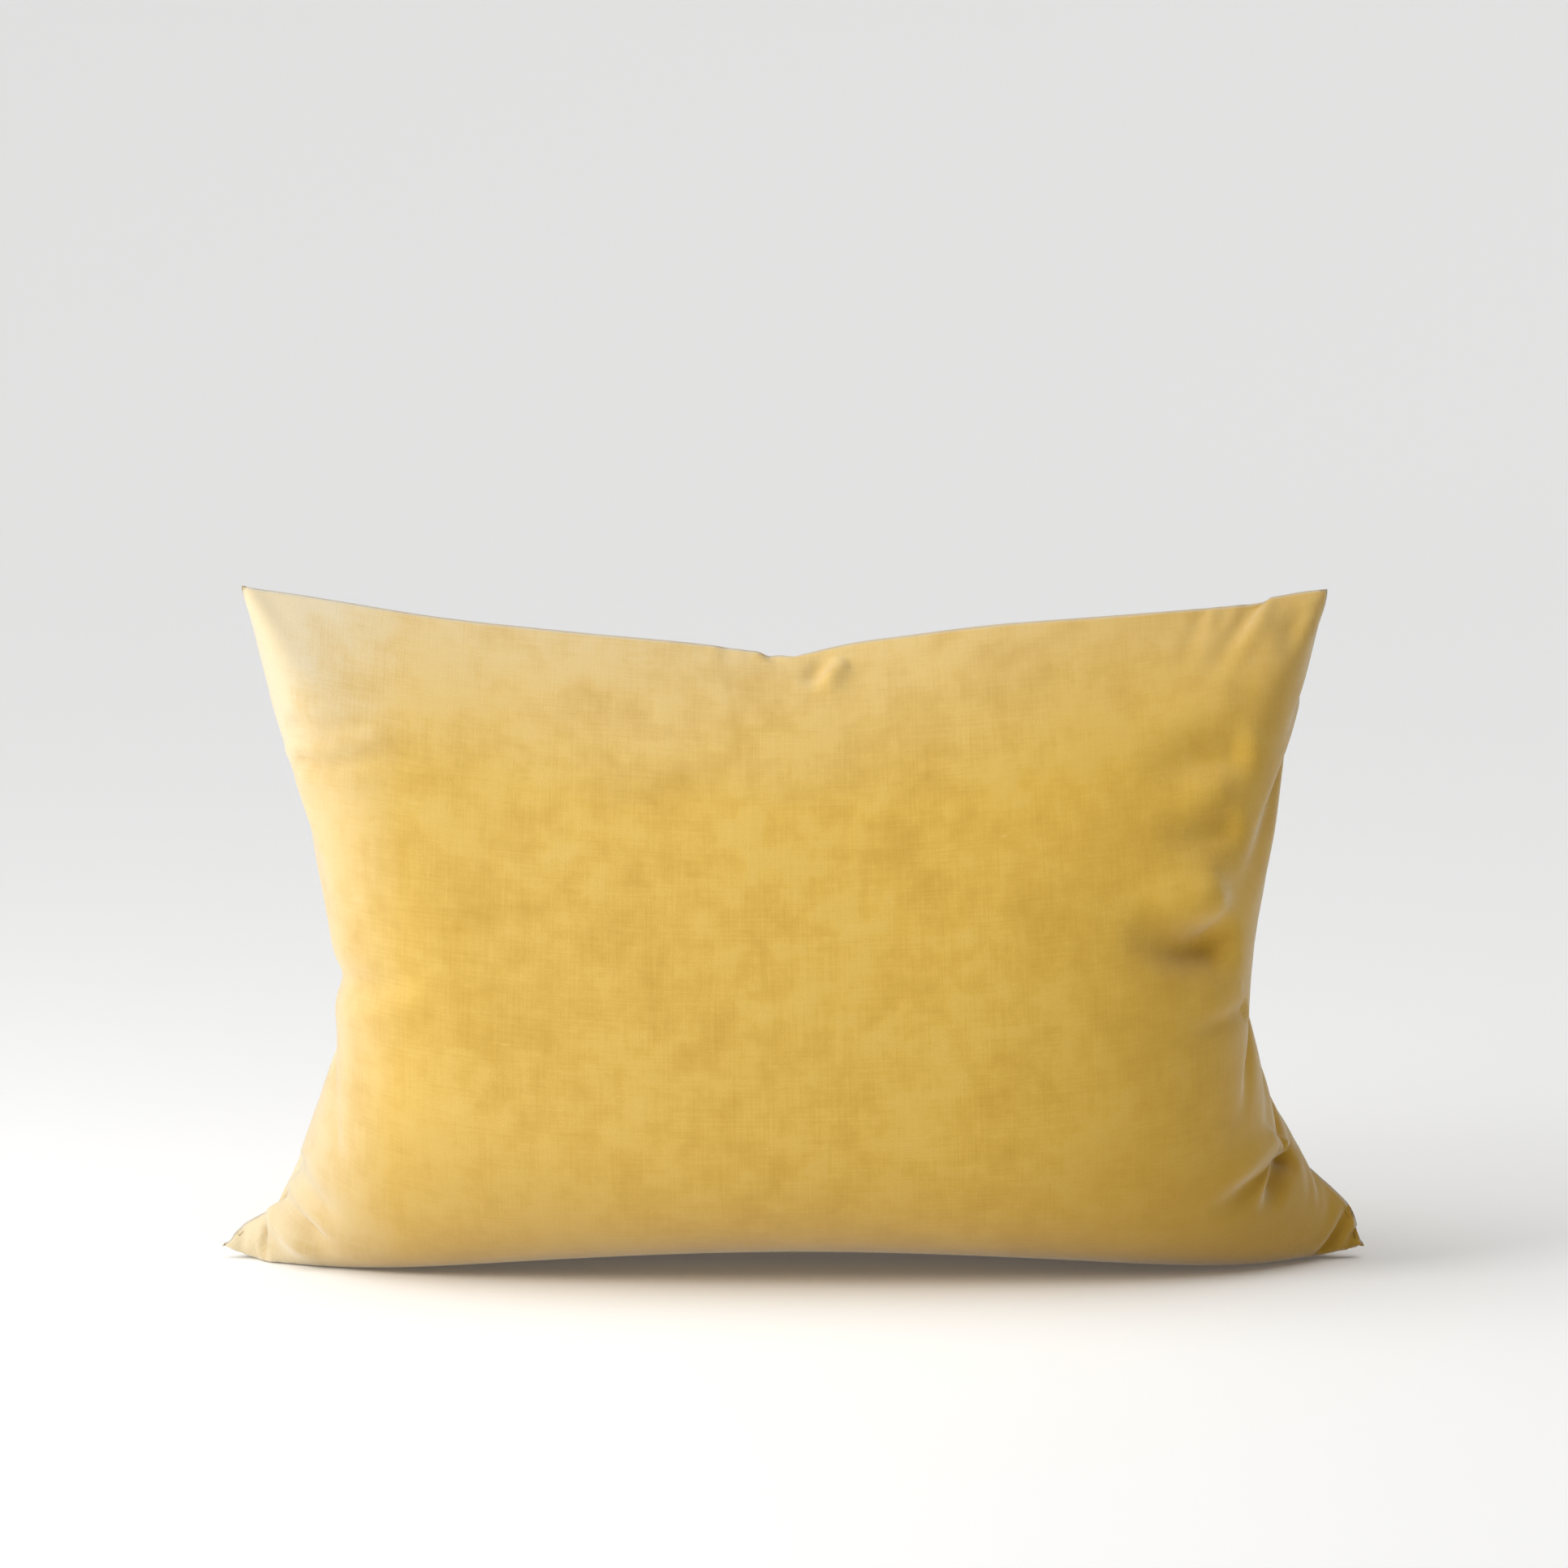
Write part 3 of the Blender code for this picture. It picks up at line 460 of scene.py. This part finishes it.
def makeOverlock(cloth):
    # Overlocking: a flat helix round the two raw edges, across them and over their ends.
    loop = seamLoop(cloth[0])
    path = aroundFromZip(inward(loop, .003 + (cover["allowance"] - .0039) * cornerRoom(loop), 14))
    path[:, 1] = 0
    path, at = evenly(path, overlock["pitch"] / 12)
    room = .15 + .85 * cornerRoom(path)
    turn = 2 * math.pi * at / overlock["pitch"]
    run = np.gradient(path, axis=0)
    run /= np.linalg.norm(run, axis=1, keepdims=True)
    side = np.stack((-run[:, 2], 0 * turn, run[:, 0]), -1)
    path += side * (overlock["halfWidth"] * room * np.cos(turn))[:, None]
    path[:, 1] += overlock["reach"] * room * np.sin(turn)
    return tube("overlockThread", path, overlock["radius"], 4, reference=(.3, .5, .8))


insert = {"gap": .0050, "inset": .032, "sideInset": .016, "topInset": .008, "columns": 120, "rows": 80}


def makeInsert(cloth):
    # The pad: the cover's own shape taken a little way in, its two cloths closing on its own seam.
    # Its depth falls to nothing at the seam as the square root of 1 - |2 t - 1|^8 in both directions.
    n, m = insert["columns"], insert["rows"]
    _, columns, rows, _ = cloth.shape
    a = np.linspace(insert["inset"], 1 - insert["inset"], n + 1) * (columns - 1)
    b = np.linspace(insert["inset"] * 1.6, 1 - insert["inset"] * 1.5, m + 1) * (rows - 1)
    shells = []
    for side in (0, 1):
        inside = cloth[side] - unitNormals(cloth[side], side) * insert["gap"]
        i, j = a.astype(int), b.astype(int)
        fa, fb = (a - i)[:, None, None], (b - j)[None, :, None]
        grid = ((1 - fa) * (1 - fb) * inside[np.ix_(i, j)] + fa * (1 - fb) * inside[np.ix_(i + 1, j)]
                + (1 - fa) * fb * inside[np.ix_(i, j + 1)] + fa * fb * inside[np.ix_(i + 1, j + 1)])
        shells.append(grid)
    u, v = np.meshgrid(np.linspace(-1, 1, n + 1), np.linspace(-1, 1, m + 1), indexing="ij")
    close = np.sqrt(np.clip(1 - np.abs(u) ** 8, 0, 1) * np.clip(1 - np.abs(v) ** 8, 0, 1))
    shells = np.stack(shells)
    middle = shells.mean(0)
    shells = middle + (shells - middle) * close[None, ..., None]
    shells[..., 0] -= insert["sideInset"] * np.sign(u) * np.abs(u) ** 5
    shells[..., 2] -= insert["topInset"] * np.sign(v) * np.abs(v) ** 5
    index = np.arange((n + 1) * (m + 1)).reshape(n + 1, m + 1)
    second = index.copy()
    second[1:-1, 1:-1] = index.size + np.arange((n - 1) * (m - 1)).reshape(n - 1, m - 1)
    points = np.concatenate((shells[0].reshape(-1, 3), shells[1][1:-1, 1:-1].reshape(-1, 3)))
    front = np.stack((index[:-1, :-1], index[1:, :-1], index[1:, 1:], index[:-1, 1:]), -1).reshape(-1, 4)
    back = np.stack((second[:-1, :-1], second[:-1, 1:], second[1:, 1:], second[1:, :-1]), -1).reshape(-1, 4)
    flat = np.stack((u * .29, v * .19), -1).reshape(-1, 2)
    uvs = np.concatenate((flat, flat.reshape(n + 1, m + 1, 2)[1:-1, 1:-1].reshape(-1, 2) + (2, 0)))
    pad = addMesh("insertPad", points, np.concatenate((front, back)), uvs)
    return pad, shells


def makePadSeam(shells):
    # The pad's own seam: the same lockstitch just outside its edge, but for the hand-sewn stretch.
    path = seamLoop(shells[0])
    path = np.roll(path, -20, 0)[:-60]
    path, at = evenly(path, .0005)
    path[:, 1] += .0009 * np.sin(2 * math.pi * at / .003)
    return tube("padSeamThread", path, .0003, 5, reference=(0, .2, 1))


def makeClosingStitch(shells):
    # Whip stitches that close the gap the pad was filled through: a helix round its edge, wide apart.
    path = np.roll(seamLoop(shells[0]), -20, 0)[-62:]
    path, at = evenly(path, .0004)
    turn = 2 * math.pi * at / .006
    path[:, 1] += .0016 * np.sin(turn)
    path[:, 2] += .0014 * np.cos(turn)
    return tube("closingStitch", path, .0003, 5, reference=(.2, .3, 1))


coil = {"turnPitch": .0016, "wire": .00021, "radius": .00062, "halfLength": .190, "y": .00135, "z": .0100}


def makeCoil(name, sign):
    # One side of the zip: nylon wire wound into a coil along the tape.
    turns = 2 * coil["halfLength"] / coil["turnPitch"]
    t = np.linspace(0, 1, int(turns * 12))
    angle = 2 * math.pi * turns * t
    path = np.stack(((2 * t - 1) * (coil["halfLength"] - .0004),
                     sign * coil["y"] + coil["radius"] * np.cos(angle),
                     coil["z"] + coil["radius"] * np.sin(angle)), -1)
    core = np.array([(x, sign * coil["y"], coil["z"]) for x in (-coil["halfLength"], coil["halfLength"])])
    wound = tube(name, path, coil["wire"], 4, reference=(1, 0, 0))
    cord = tube(name + "Core", np.linspace(core[0], core[1], 40), .0004, 6)
    return joined(wound, cord)


def joined(first, *others):
    # The others' geometry added to the first piece.
    build = bmesh.new()
    build.from_mesh(first.data)
    for piece in others:
        build.from_mesh(piece.data)
        bpy.data.objects.remove(piece)
    build.to_mesh(first.data)
    build.free()
    first.data.shade_smooth()
    return first


def makeZipThread(name, sign):
    # A straight row of lockstitches through the tape and the velvet beside it.
    x = np.arange(-.197, .197, .003 / 8)
    swing = .00035 * np.sin(2 * math.pi * x / .003)
    path = np.stack((x, sign * (.00125 + swing), 0 * x + .0184), -1)
    return tube(name, path, .00022, 5, reference=(0, .2, 1))


def makeTape(name, sign):
    # Woven tape as a closed strip, thicker along its two selvedges.
    n, m = 200, 16
    x, v = np.meshgrid(np.linspace(-.198, .198, n), np.linspace(0, 1, m), indexing="ij")
    z = .011 + .015 * v
    half = .00018 + .00007 * np.exp(-((v - .06) / .05) ** 2) + .00007 * np.exp(-((v - .94) / .05) ** 2)
    sides = [np.stack((x, sign * .00045 + s * half, z), -1) for s in (-1, 1)]
    index = np.arange(n * m).reshape(n, m)
    quads = np.stack((index[:-1, :-1], index[1:, :-1], index[1:, 1:], index[:-1, 1:]), -1).reshape(-1, 4)
    border = seamLoop(index[..., None])[:, 0]
    after = np.roll(border, -1)
    edge = np.stack((after, border, border + n * m, after + n * m), -1)
    flat = np.stack((x, z), -1).reshape(-1, 2)
    points = np.concatenate([s.reshape(-1, 3) for s in sides])
    return addMesh(name, points, np.concatenate((quads, quads[:, ::-1] + n * m, edge)),
                   np.concatenate((flat, flat)), smooth=False)


careLabel = {"width": .016, "height": .020, "curl": .0016}
padLabel = {"width": .018, "height": .012, "curl": .0010, "held": .002}


def makeLabel(name, size, foot, along):
    # A blank satin label held by its lower edge: it bows out by curl sin(pi v), and its free end is hemmed.
    n, m = 24, 36
    u, v = np.meshgrid(np.linspace(-.5, .5, n), np.linspace(0, 1, m), indexing="ij")
    bow = size["curl"] * np.sin(math.pi * v) * (1 - (1.2 * u) ** 2)
    half = .00012 + .00012 * (v > .88)
    x, z = u * size["width"], v * size["height"]
    up = np.array((-along[2], 0, along[0]))
    middle = foot + x[..., None] * along + z[..., None] * up
    sides = [middle + (bow + s * half)[..., None] * np.array((0, 1, 0)) for s in (-1, 1)]
    index = np.arange(n * m).reshape(n, m)
    quads = np.stack((index[:-1, :-1], index[1:, :-1], index[1:, 1:], index[:-1, 1:]), -1).reshape(-1, 4)
    border = seamLoop(index[..., None])[:, 0]
    after = np.roll(border, -1)
    edge = np.stack((after, border, border + n * m, after + n * m), -1)
    flat = np.stack((x, z), -1).reshape(-1, 2)
    label = addMesh(name, np.concatenate([s.reshape(-1, 3) for s in sides]),
                    np.concatenate((quads, quads[:, ::-1] + n * m, edge)), np.concatenate((flat, flat)))
    return label


def middleOf(node):
    # The middle of a CAD piece's box, and its lowest height.
    box = np.array([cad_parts[node].matrix_world @ Vector(c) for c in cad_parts[node].bound_box])
    return .5 * (box.min(0) + box.max(0)), box[:, 2].min()


def makeCareLabel():
    # In the cover's seam beside the zip's closed end, inside the cover.
    middle, low = middleOf("cover_care_label")
    return makeLabel("careLabel", careLabel, np.array((middle[0], 0, low)), np.array((1.0, 0, 0)))


def makePadLabel(shells):
    # In the pad's top seam, standing up from it.
    edge = shells[0][:, -1]
    k = np.abs(edge[:, 0] - middleOf("insert_label")[0][0]).argmin()
    along = edge[k + 1] - edge[k - 1]
    along[1] = 0
    along /= np.linalg.norm(along)
    foot = edge[k] - padLabel["held"] * np.array((-along[2], 0, along[0]))
    return makeLabel("padLabel", padLabel, foot, along)


def softenedCopy(name, node, width):
    # The CAD metal with its edges rounded over.
    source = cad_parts[node]
    build = bmesh.new()
    build.from_mesh(source.data)
    build.transform(source.matrix_world)
    bmesh.ops.remove_doubles(build, verts=build.verts, dist=1e-6)
    mesh = bpy.data.meshes.new(name)
    build.to_mesh(mesh)
    build.free()
    piece = bpy.data.objects.new(name, mesh)
    bpy.context.scene.collection.objects.link(piece)
    bevel = piece.modifiers.new("rounded", 'BEVEL')
    bevel.width = width
    bevel.segments = 3
    bevel.limit_method = 'ANGLE'
    bevel.angle_limit = math.radians(35)
    mesh.shade_smooth()
    return piece


class Value:
    # A number from a socket; sums and products of it add Math nodes.

    def __init__(self, shader, socket):
        self.shader, self.socket = shader, socket

    def maths(self, operation, first, second=None):
        inputs = {0: first} if second is None else {0: first, 1: second}
        return self.shader.value("ShaderNodeMath", {"operation": operation}, inputs)

    def __add__(self, other): return self.maths('ADD', self, other)
    def __sub__(self, other): return self.maths('SUBTRACT', self, other)
    def __mul__(self, other): return self.maths('MULTIPLY', self, other)
    def __rmul__(self, other): return self.maths('MULTIPLY', other, self)

    def sine(self):
        return self.maths('SINE', self)


class Shader:
    # A new material with its Principled node.

    def __init__(self, name, **constants):
        self.material = bpy.data.materials.new(name)
        self.material.use_nodes = True
        self.tree = self.material.node_tree
        self.surface = self.tree.nodes["Principled BSDF"]
        for socket, number in constants.items():
            self.surface.inputs[socket].default_value = number

    def node(self, kind, settings=None, inputs=None):
        made = self.tree.nodes.new(kind)
        for key, setting in (settings or {}).items():
            setattr(made, key, setting)
        for key, given in (inputs or {}).items():
            given = given.socket if isinstance(given, Value) else given
            if isinstance(given, bpy.types.NodeSocket):
                self.tree.links.new(given, made.inputs[key])
            else:
                made.inputs[key].default_value = given
        return made

    def value(self, kind, settings=None, inputs=None):
        return Value(self, self.node(kind, settings, inputs).outputs[0])

    def cloth(self):
        return self.node("ShaderNodeUVMap", {"uv_map": "clothMap"}).outputs[0]

    def place(self):
        return self.node("ShaderNodeTexCoord").outputs["Object"]

    def stretched(self, vector, scale):
        made = self.node("ShaderNodeVectorMath", {"operation": 'MULTIPLY'}, {0: vector, 1: scale})
        return made.outputs[0]

    def noise(self, vector, scale, detail=2.0, roughness=.5):
        return self.value("ShaderNodeTexNoise", None,
                          {"Vector": vector, "Scale": scale, "Detail": detail, "Roughness": roughness})

    def ranged(self, value, low, high, newLow=0.0, newHigh=1.0):
        return self.value("ShaderNodeMapRange", None, {
            "Value": value, "From Min": low, "From Max": high, "To Min": newLow, "To Max": newHigh})

    def mixed(self, factor, one, two):
        return self.node("ShaderNodeMix", {"data_type": 'RGBA'}, {0: factor, 6: one, 7: two}).outputs[2]

    def feed(self, socket, given):
        given = given.socket if isinstance(given, Value) else given
        self.tree.links.new(given, self.surface.inputs[socket])

    def bump(self, height, strength, distance):
        made = self.node("ShaderNodeBump", None,
                         {"Strength": strength, "Distance": distance, "Height": height})
        self.feed("Normal", made.outputs[0])


velvet = {
    "deep": (.62, .36, .045), "gold": (.775, .49, .078), "pale": (.87, .62, .17),
    # colour of the painted light and sheen, then colour of the painted shade
    "paintedLight": (.75, .625, .40), "paintedShade": (.49, .285, .033),
    "sheen": .8, "sheenRoughness": .45, "sheenTint": (1, .99, .95),
    "cloudSize": 7, "napSize": 24, "patchSize": 70, "threadCount": 900, "pileCount": 1700,
    "bumpStrength": .55, "bumpHeight": .0012,
    "paintedLightLeft": (-.268, -.170), "paintedLightTop": (.255, .345),    # where light and sheen are painted on, pale
    "paintedShadeRight": (.06, .22), "paintedShadeFoot": (-.02, .11),             # and where shade is painted on, darker
}


def velvetMaterial(name, colours, shift=0):
    # Short cotton pile: cloudy nap, slubby threads both ways, a few pale flecks, a pale sheen at grazing
    # angles, painted light and sheen as pale bands along the left and top edges, and painted shade as
    # darker bands along the foot and the right edge.
    s = Shader(name, **{"Sheen Weight": colours["sheen"], "Sheen Roughness": colours["sheenRoughness"],
                        "Sheen Tint": (*colours["sheenTint"], 1), "Specular IOR Level": .12})
    cloth = s.cloth()
    clouds = s.noise(cloth, colours["cloudSize"], 3, .55)
    nap = s.noise(cloth, colours["napSize"], 4, .6)
    patches = s.noise(cloth, colours["patchSize"], 3, .55)
    slubAcross = s.noise(s.stretched(cloth, (34, colours["threadCount"], 1)), 1, 3, .6)
    slubUp = s.noise(s.stretched(cloth, (colours["threadCount"], 30, 1)), 1, 3, .6)
    pile = s.noise(cloth, colours["pileCount"], 2, .6)
    tone = .22 * clouds + .30 * nap + .22 * patches + .13 * slubAcross + .13 * slubUp
    colour = s.mixed(s.ranged(tone, .37, .52), (*colours["deep"], 1), (*colours["gold"], 1))
    colour = s.mixed(s.ranged(tone, .50, .66, 0, .6), colour, (*colours["pale"], 1))
    flecks = s.ranged(s.noise(s.stretched(cloth, (60, 240, 1)), 1, 2, .5), .74, .80, 0, .6)
    colour = s.mixed(flecks, colour, (*colours["pale"], 1))
    colour = s.mixed(s.ranged(pile, .35, .65, 0, .25), colour, (*colours["deep"], 1))
    split = s.node("ShaderNodeSeparateXYZ", None, {0: cloth})
    across, up = Value(s, split.outputs[0]) - shift, Value(s, split.outputs[1])
    # painted light and sheen: the colour paled to cream along the left and top edges, and faintly paler from
    # left to right
    paintedLight = (s.ranged(across + clouds * .05, *colours["paintedLightLeft"], 1.1, 0)
               + s.ranged(across, -.19, .15, .12, 0)
               + s.ranged(up - clouds * .08, *colours["paintedLightTop"], 0, 1)
               * s.ranged(across, -.28, .20, .7, .25))
    # painted shade: the colour darkened along the foot and towards the right edge
    paintedShade = (s.ranged(up - clouds * .05, *colours["paintedShadeFoot"], .8, 0)
               + s.ranged(across - clouds * .06, *colours["paintedShadeRight"], 0, .6))
    colour = s.mixed(paintedShade, colour, (*colours["paintedShade"], 1))
    colour = s.mixed(paintedLight * s.ranged(tone, .40, .54, .55, .95), colour, (*colours["paintedLight"], 1))
    s.feed("Base Color", colour)
    s.feed("Roughness", s.ranged(tone, .40, .60, .95, .80))
    height = .40 * pile + .22 * slubAcross + .18 * slubUp + .45 * patches + .5 * nap
    s.bump(height, colours["bumpStrength"], colours["bumpHeight"])
    return s.material


def threadMaterial(name, colour, count):
    # Twisted thread: fine dark lines between its plies.
    s = Shader(name, **{"Specular IOR Level": .25, "Sheen Weight": .3})
    grain = s.noise(s.place(), count, 3, .65)
    s.feed("Base Color", s.mixed(s.ranged(grain, .35, .62), (*(.55 * c for c in colour), 1), (*colour, 1)))
    s.feed("Roughness", s.ranged(grain, .3, .7, .62, .85))
    s.bump(grain, .5, .00012)
    return s.material


def wovenMaterial(name, colour, threads, roughness):
    # Plain weave: one sine across and one along, over and under each other.
    s = Shader(name, **{"Specular IOR Level": .2, "Sheen Weight": .15})
    cloth = s.cloth()
    split = s.node("ShaderNodeSeparateXYZ", None, {0: cloth})
    across = (Value(s, split.outputs[0]) * threads).sine()
    along = (Value(s, split.outputs[1]) * threads).sine()
    weave = across * along
    grain = s.noise(cloth, 90, 3, .6)
    shade = .5 * s.ranged(weave, -1, 1) + .5 * s.ranged(grain, .3, .7)
    s.feed("Base Color", s.mixed(shade, (*(.78 * c for c in colour), 1), (*colour, 1)))
    s.feed("Roughness", s.ranged(grain, .3, .7, roughness, roughness + .12))
    s.bump(weave * .6 + grain * .8, .5, .0003)
    return s.material


def nylonMaterial(name, colour):
    s = Shader(name, **{"Coat Roughness": .3})
    grain = s.noise(s.place(), 400, 3, .6)
    s.feed("Base Color", s.mixed(s.ranged(grain, .35, .65), (*(.8 * c for c in colour), 1), (*colour, 1)))
    s.feed("Roughness", s.ranged(grain, .3, .7, .34, .48))
    s.bump(grain, .2, .00006)
    return s.material


def brassMaterial(name, colour):
    # Cast brass: satin, a little darker in its pits and brighter where it is rubbed.
    s = Shader(name, Metallic=1.0)
    pits = s.noise(s.place(), 900, 4, .65)
    rubbed = s.noise(s.place(), 160, 2, .5)
    dull = tuple(.55 * c for c in colour)
    s.feed("Base Color", s.mixed(s.ranged(pits * .6 + rubbed * .4, .38, .60), (*dull, 1), (*colour, 1)))
    s.feed("Roughness", s.ranged(rubbed, .35, .65, .42, .22))
    s.bump(pits, .35, .00010)
    return s.material


def finishPiece(piece, body, slotName, finish, *nodes):
    piece.data.materials.clear()
    piece.data.materials.append(finish)
    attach(piece, body)
    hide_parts(*nodes)


cloth = fillCover()
ironOut(cloth, 0, (-.020, .310), .045, 60)
pressFolds(cloth)
liftFoot(cloth)
print("folds pressed in, %.0f mm thick" % (np.ptp(cloth[..., 1]) * 1000))

goldFront = velvetMaterial("goldVelvetFront", velvet)
goldBack = velvetMaterial("goldVelvetBack", velvet, cover["backShift"])
goldThread = threadMaterial("goldThread", (.46, .29, .07), 2600)
paleThread = threadMaterial("overlockThread", (.60, .45, .20), 2600)
whiteThread = threadMaterial("whiteThread", (.80, .79, .75), 2600)
ticking = wovenMaterial("whiteTicking", (.78, .77, .73), 5200, .78)
tapeWeave = wovenMaterial("zipTape", (.52, .36, .12), 6800, .66)
satin = wovenMaterial("labelSatin", (.86, .85, .82), 9000, .34)
nylon = nylonMaterial("zipNylon", (.50, .34, .10))
brass = brassMaterial("zipBrass", (.72, .55, .28))

for side, which in enumerate(("Front", "Back")):
    panel = makePanel("velvet" + which, cloth, side)
    finishPiece(panel, "pillow", "velvet_" + which.lower(), (goldFront, goldBack)[side],
                "cover_%s_panel" % which.lower())
print("cover panels made")

finishPiece(makeSeamThread(cloth), "pillow", "gold_thread", goldThread, "cover_seam_stitching")
finishPiece(makeOverlock(cloth), "pillow", "overlock_thread", paleThread, "cover_seam_overlock")
pad, shells = makeInsert(cloth)
finishPiece(pad, "pillow", "ticking", ticking, "insert_front_ticking", "insert_back_ticking", "insert_fill")
finishPiece(makePadSeam(shells), "pillow", "white_thread", whiteThread, "insert_seam_stitching")
finishPiece(makeClosingStitch(shells), "pillow", "white_thread", whiteThread, "insert_closing_stitch")
finishPiece(makePadLabel(shells), "pillow", "label_satin", satin, "insert_label")
finishPiece(makeCareLabel(), "pillow", "label_satin", satin, "cover_care_label")
print("insert and labels made")

for sign, which in ((-1, "front"), (1, "back")):
    title = which.capitalize()
    finishPiece(makeTape("zipTape" + title, sign), "pillow", "zip_tape", tapeWeave, "zip_tape_" + which)
    finishPiece(makeCoil("zipCoil" + title, sign), "pillow", "zip_nylon", nylon, "zip_coil_" + which)
    finishPiece(makeZipThread("zipThread" + title, sign), "pillow", "gold_thread", goldThread,
                "zip_stitching_" + which)
    finishPiece(softenedCopy("zipTopStop" + title, "zip_top_stop_" + which, .0002), "pillow", "zip_metal",
                brass, "zip_top_stop_" + which)
finishPiece(softenedCopy("zipBottomStop", "zip_bottom_stop", .0002), "pillow", "zip_metal", brass,
            "zip_bottom_stop")
finishPiece(softenedCopy("zipSlider", "zip_slider", .00025), "slider", "zip_metal", brass, "zip_slider")
finishPiece(softenedCopy("zipPullTab", "zip_pull_tab", .0003), "pull_tab", "zip_metal", brass,
            "zip_pull_tab")
print("zip made")

studio = {
    "paper": (.90, .90, .895), "glow": .06,
    "elevation": 7.0, "distance": 2.7, "aim": (-.005, 0, .250), "frameWidth": .8128,
    "window": {"from": (-1.35, -.74, .85), "towards": (0, 0, .17), "size": .6, "power": 14.5},
    "sky": {"turn": 90, "height": 38, "size": 60, "power": .85},
    "ceiling": {"turn": 0, "height": 88, "size": 70, "power": 1.55},
    "roomLight": .12,
}


def makeStudio():
    # A pale paper floor whose rim rises gently far away: a very shallow bowl,
    # height .16 (r - 5)^2 / (r - 3) beyond 5 m.
    turn = np.linspace(0, 2 * math.pi, 96, endpoint=False)
    radius = np.concatenate(([.4, 1, 2, 3, 4, 5], np.linspace(5.5, 9, 8), [14, 22, 36]))
    height = .16 * np.maximum(radius - 5, 0) ** 2 / (np.maximum(radius - 5, 0) + 2)
    rings = np.stack((np.outer(radius, np.cos(turn)), np.outer(radius, np.sin(turn)),
                      np.outer(height, np.ones(96))), -1).reshape(-1, 3)
    k = np.arange(len(radius) * 96).reshape(-1, 96)
    after = np.roll(k, -1, 1)
    faces = np.stack((k[:-1], k[1:], after[1:], after[:-1]), -1).reshape(-1, 4).tolist()
    faces.append(list(range(96)))
    paper = addMesh("paperFloor", rings, faces)
    s = Shader("palePaper", **{"Specular IOR Level": .1})
    grain = s.noise(s.place(), 300, 2, .5)
    bright = studio["paper"]
    s.feed("Base Color", s.mixed(grain, (*(.99 * c for c in bright), 1), (*bright, 1)))
    s.surface.inputs["Roughness"].default_value = .9
    s.surface.inputs["Emission Color"].default_value = (1, 1, 1, 1)
    s.surface.inputs["Emission Strength"].default_value = studio["glow"]
    paper.data.materials.append(s.material)


def makeLight():
    # A soft window close by on the left, so that the right falls off, a wide soft sky beyond it,
    # an even softer ceiling, and the room's own light.
    window = studio["window"]
    pane = bpy.data.lights.new("window", 'AREA')
    pane.size, pane.energy = window["size"], window["power"]
    holder = bpy.data.objects.new("window", pane)
    holder.location = window["from"]
    towards = Vector(window["towards"]) - Vector(window["from"])
    holder.rotation_euler = towards.to_track_quat('-Z', 'Y').to_euler()
    bpy.context.scene.collection.objects.link(holder)
    for name in ("sky", "ceiling"):
        lamp = bpy.data.lights.new(name, 'SUN')
        lamp.energy, lamp.angle = studio[name]["power"], math.radians(studio[name]["size"])
        holder = bpy.data.objects.new(name, lamp)
        holder.rotation_euler = (math.radians(90 - studio[name]["height"]), 0,
                                 -math.radians(studio[name]["turn"]))
        bpy.context.scene.collection.objects.link(holder)
    world = bpy.data.worlds.new("room")
    world.use_nodes = True
    world.node_tree.nodes["Background"].inputs["Color"].default_value = (1, 1, 1, 1)
    world.node_tree.nodes["Background"].inputs["Strength"].default_value = studio["roomLight"]
    bpy.context.scene.world = world
    bpy.context.scene.view_settings.view_transform = 'Standard'


def makeCamera():
    camera = bpy.data.cameras.new("camera")
    camera.sensor_width = 36
    camera.lens = 36 * studio["distance"] / studio["frameWidth"]
    holder = bpy.data.objects.new("camera", camera)
    rise = math.radians(studio["elevation"])
    x, y, z = studio["aim"]
    holder.location = (x, y - studio["distance"] * math.cos(rise), z + studio["distance"] * math.sin(rise))
    holder.rotation_euler = (math.pi / 2 - rise, 0, 0)
    bpy.context.scene.collection.objects.link(holder)
    bpy.context.scene.camera = holder


makeStudio()
makeLight()
makeCamera()
print("floor, light and camera made")
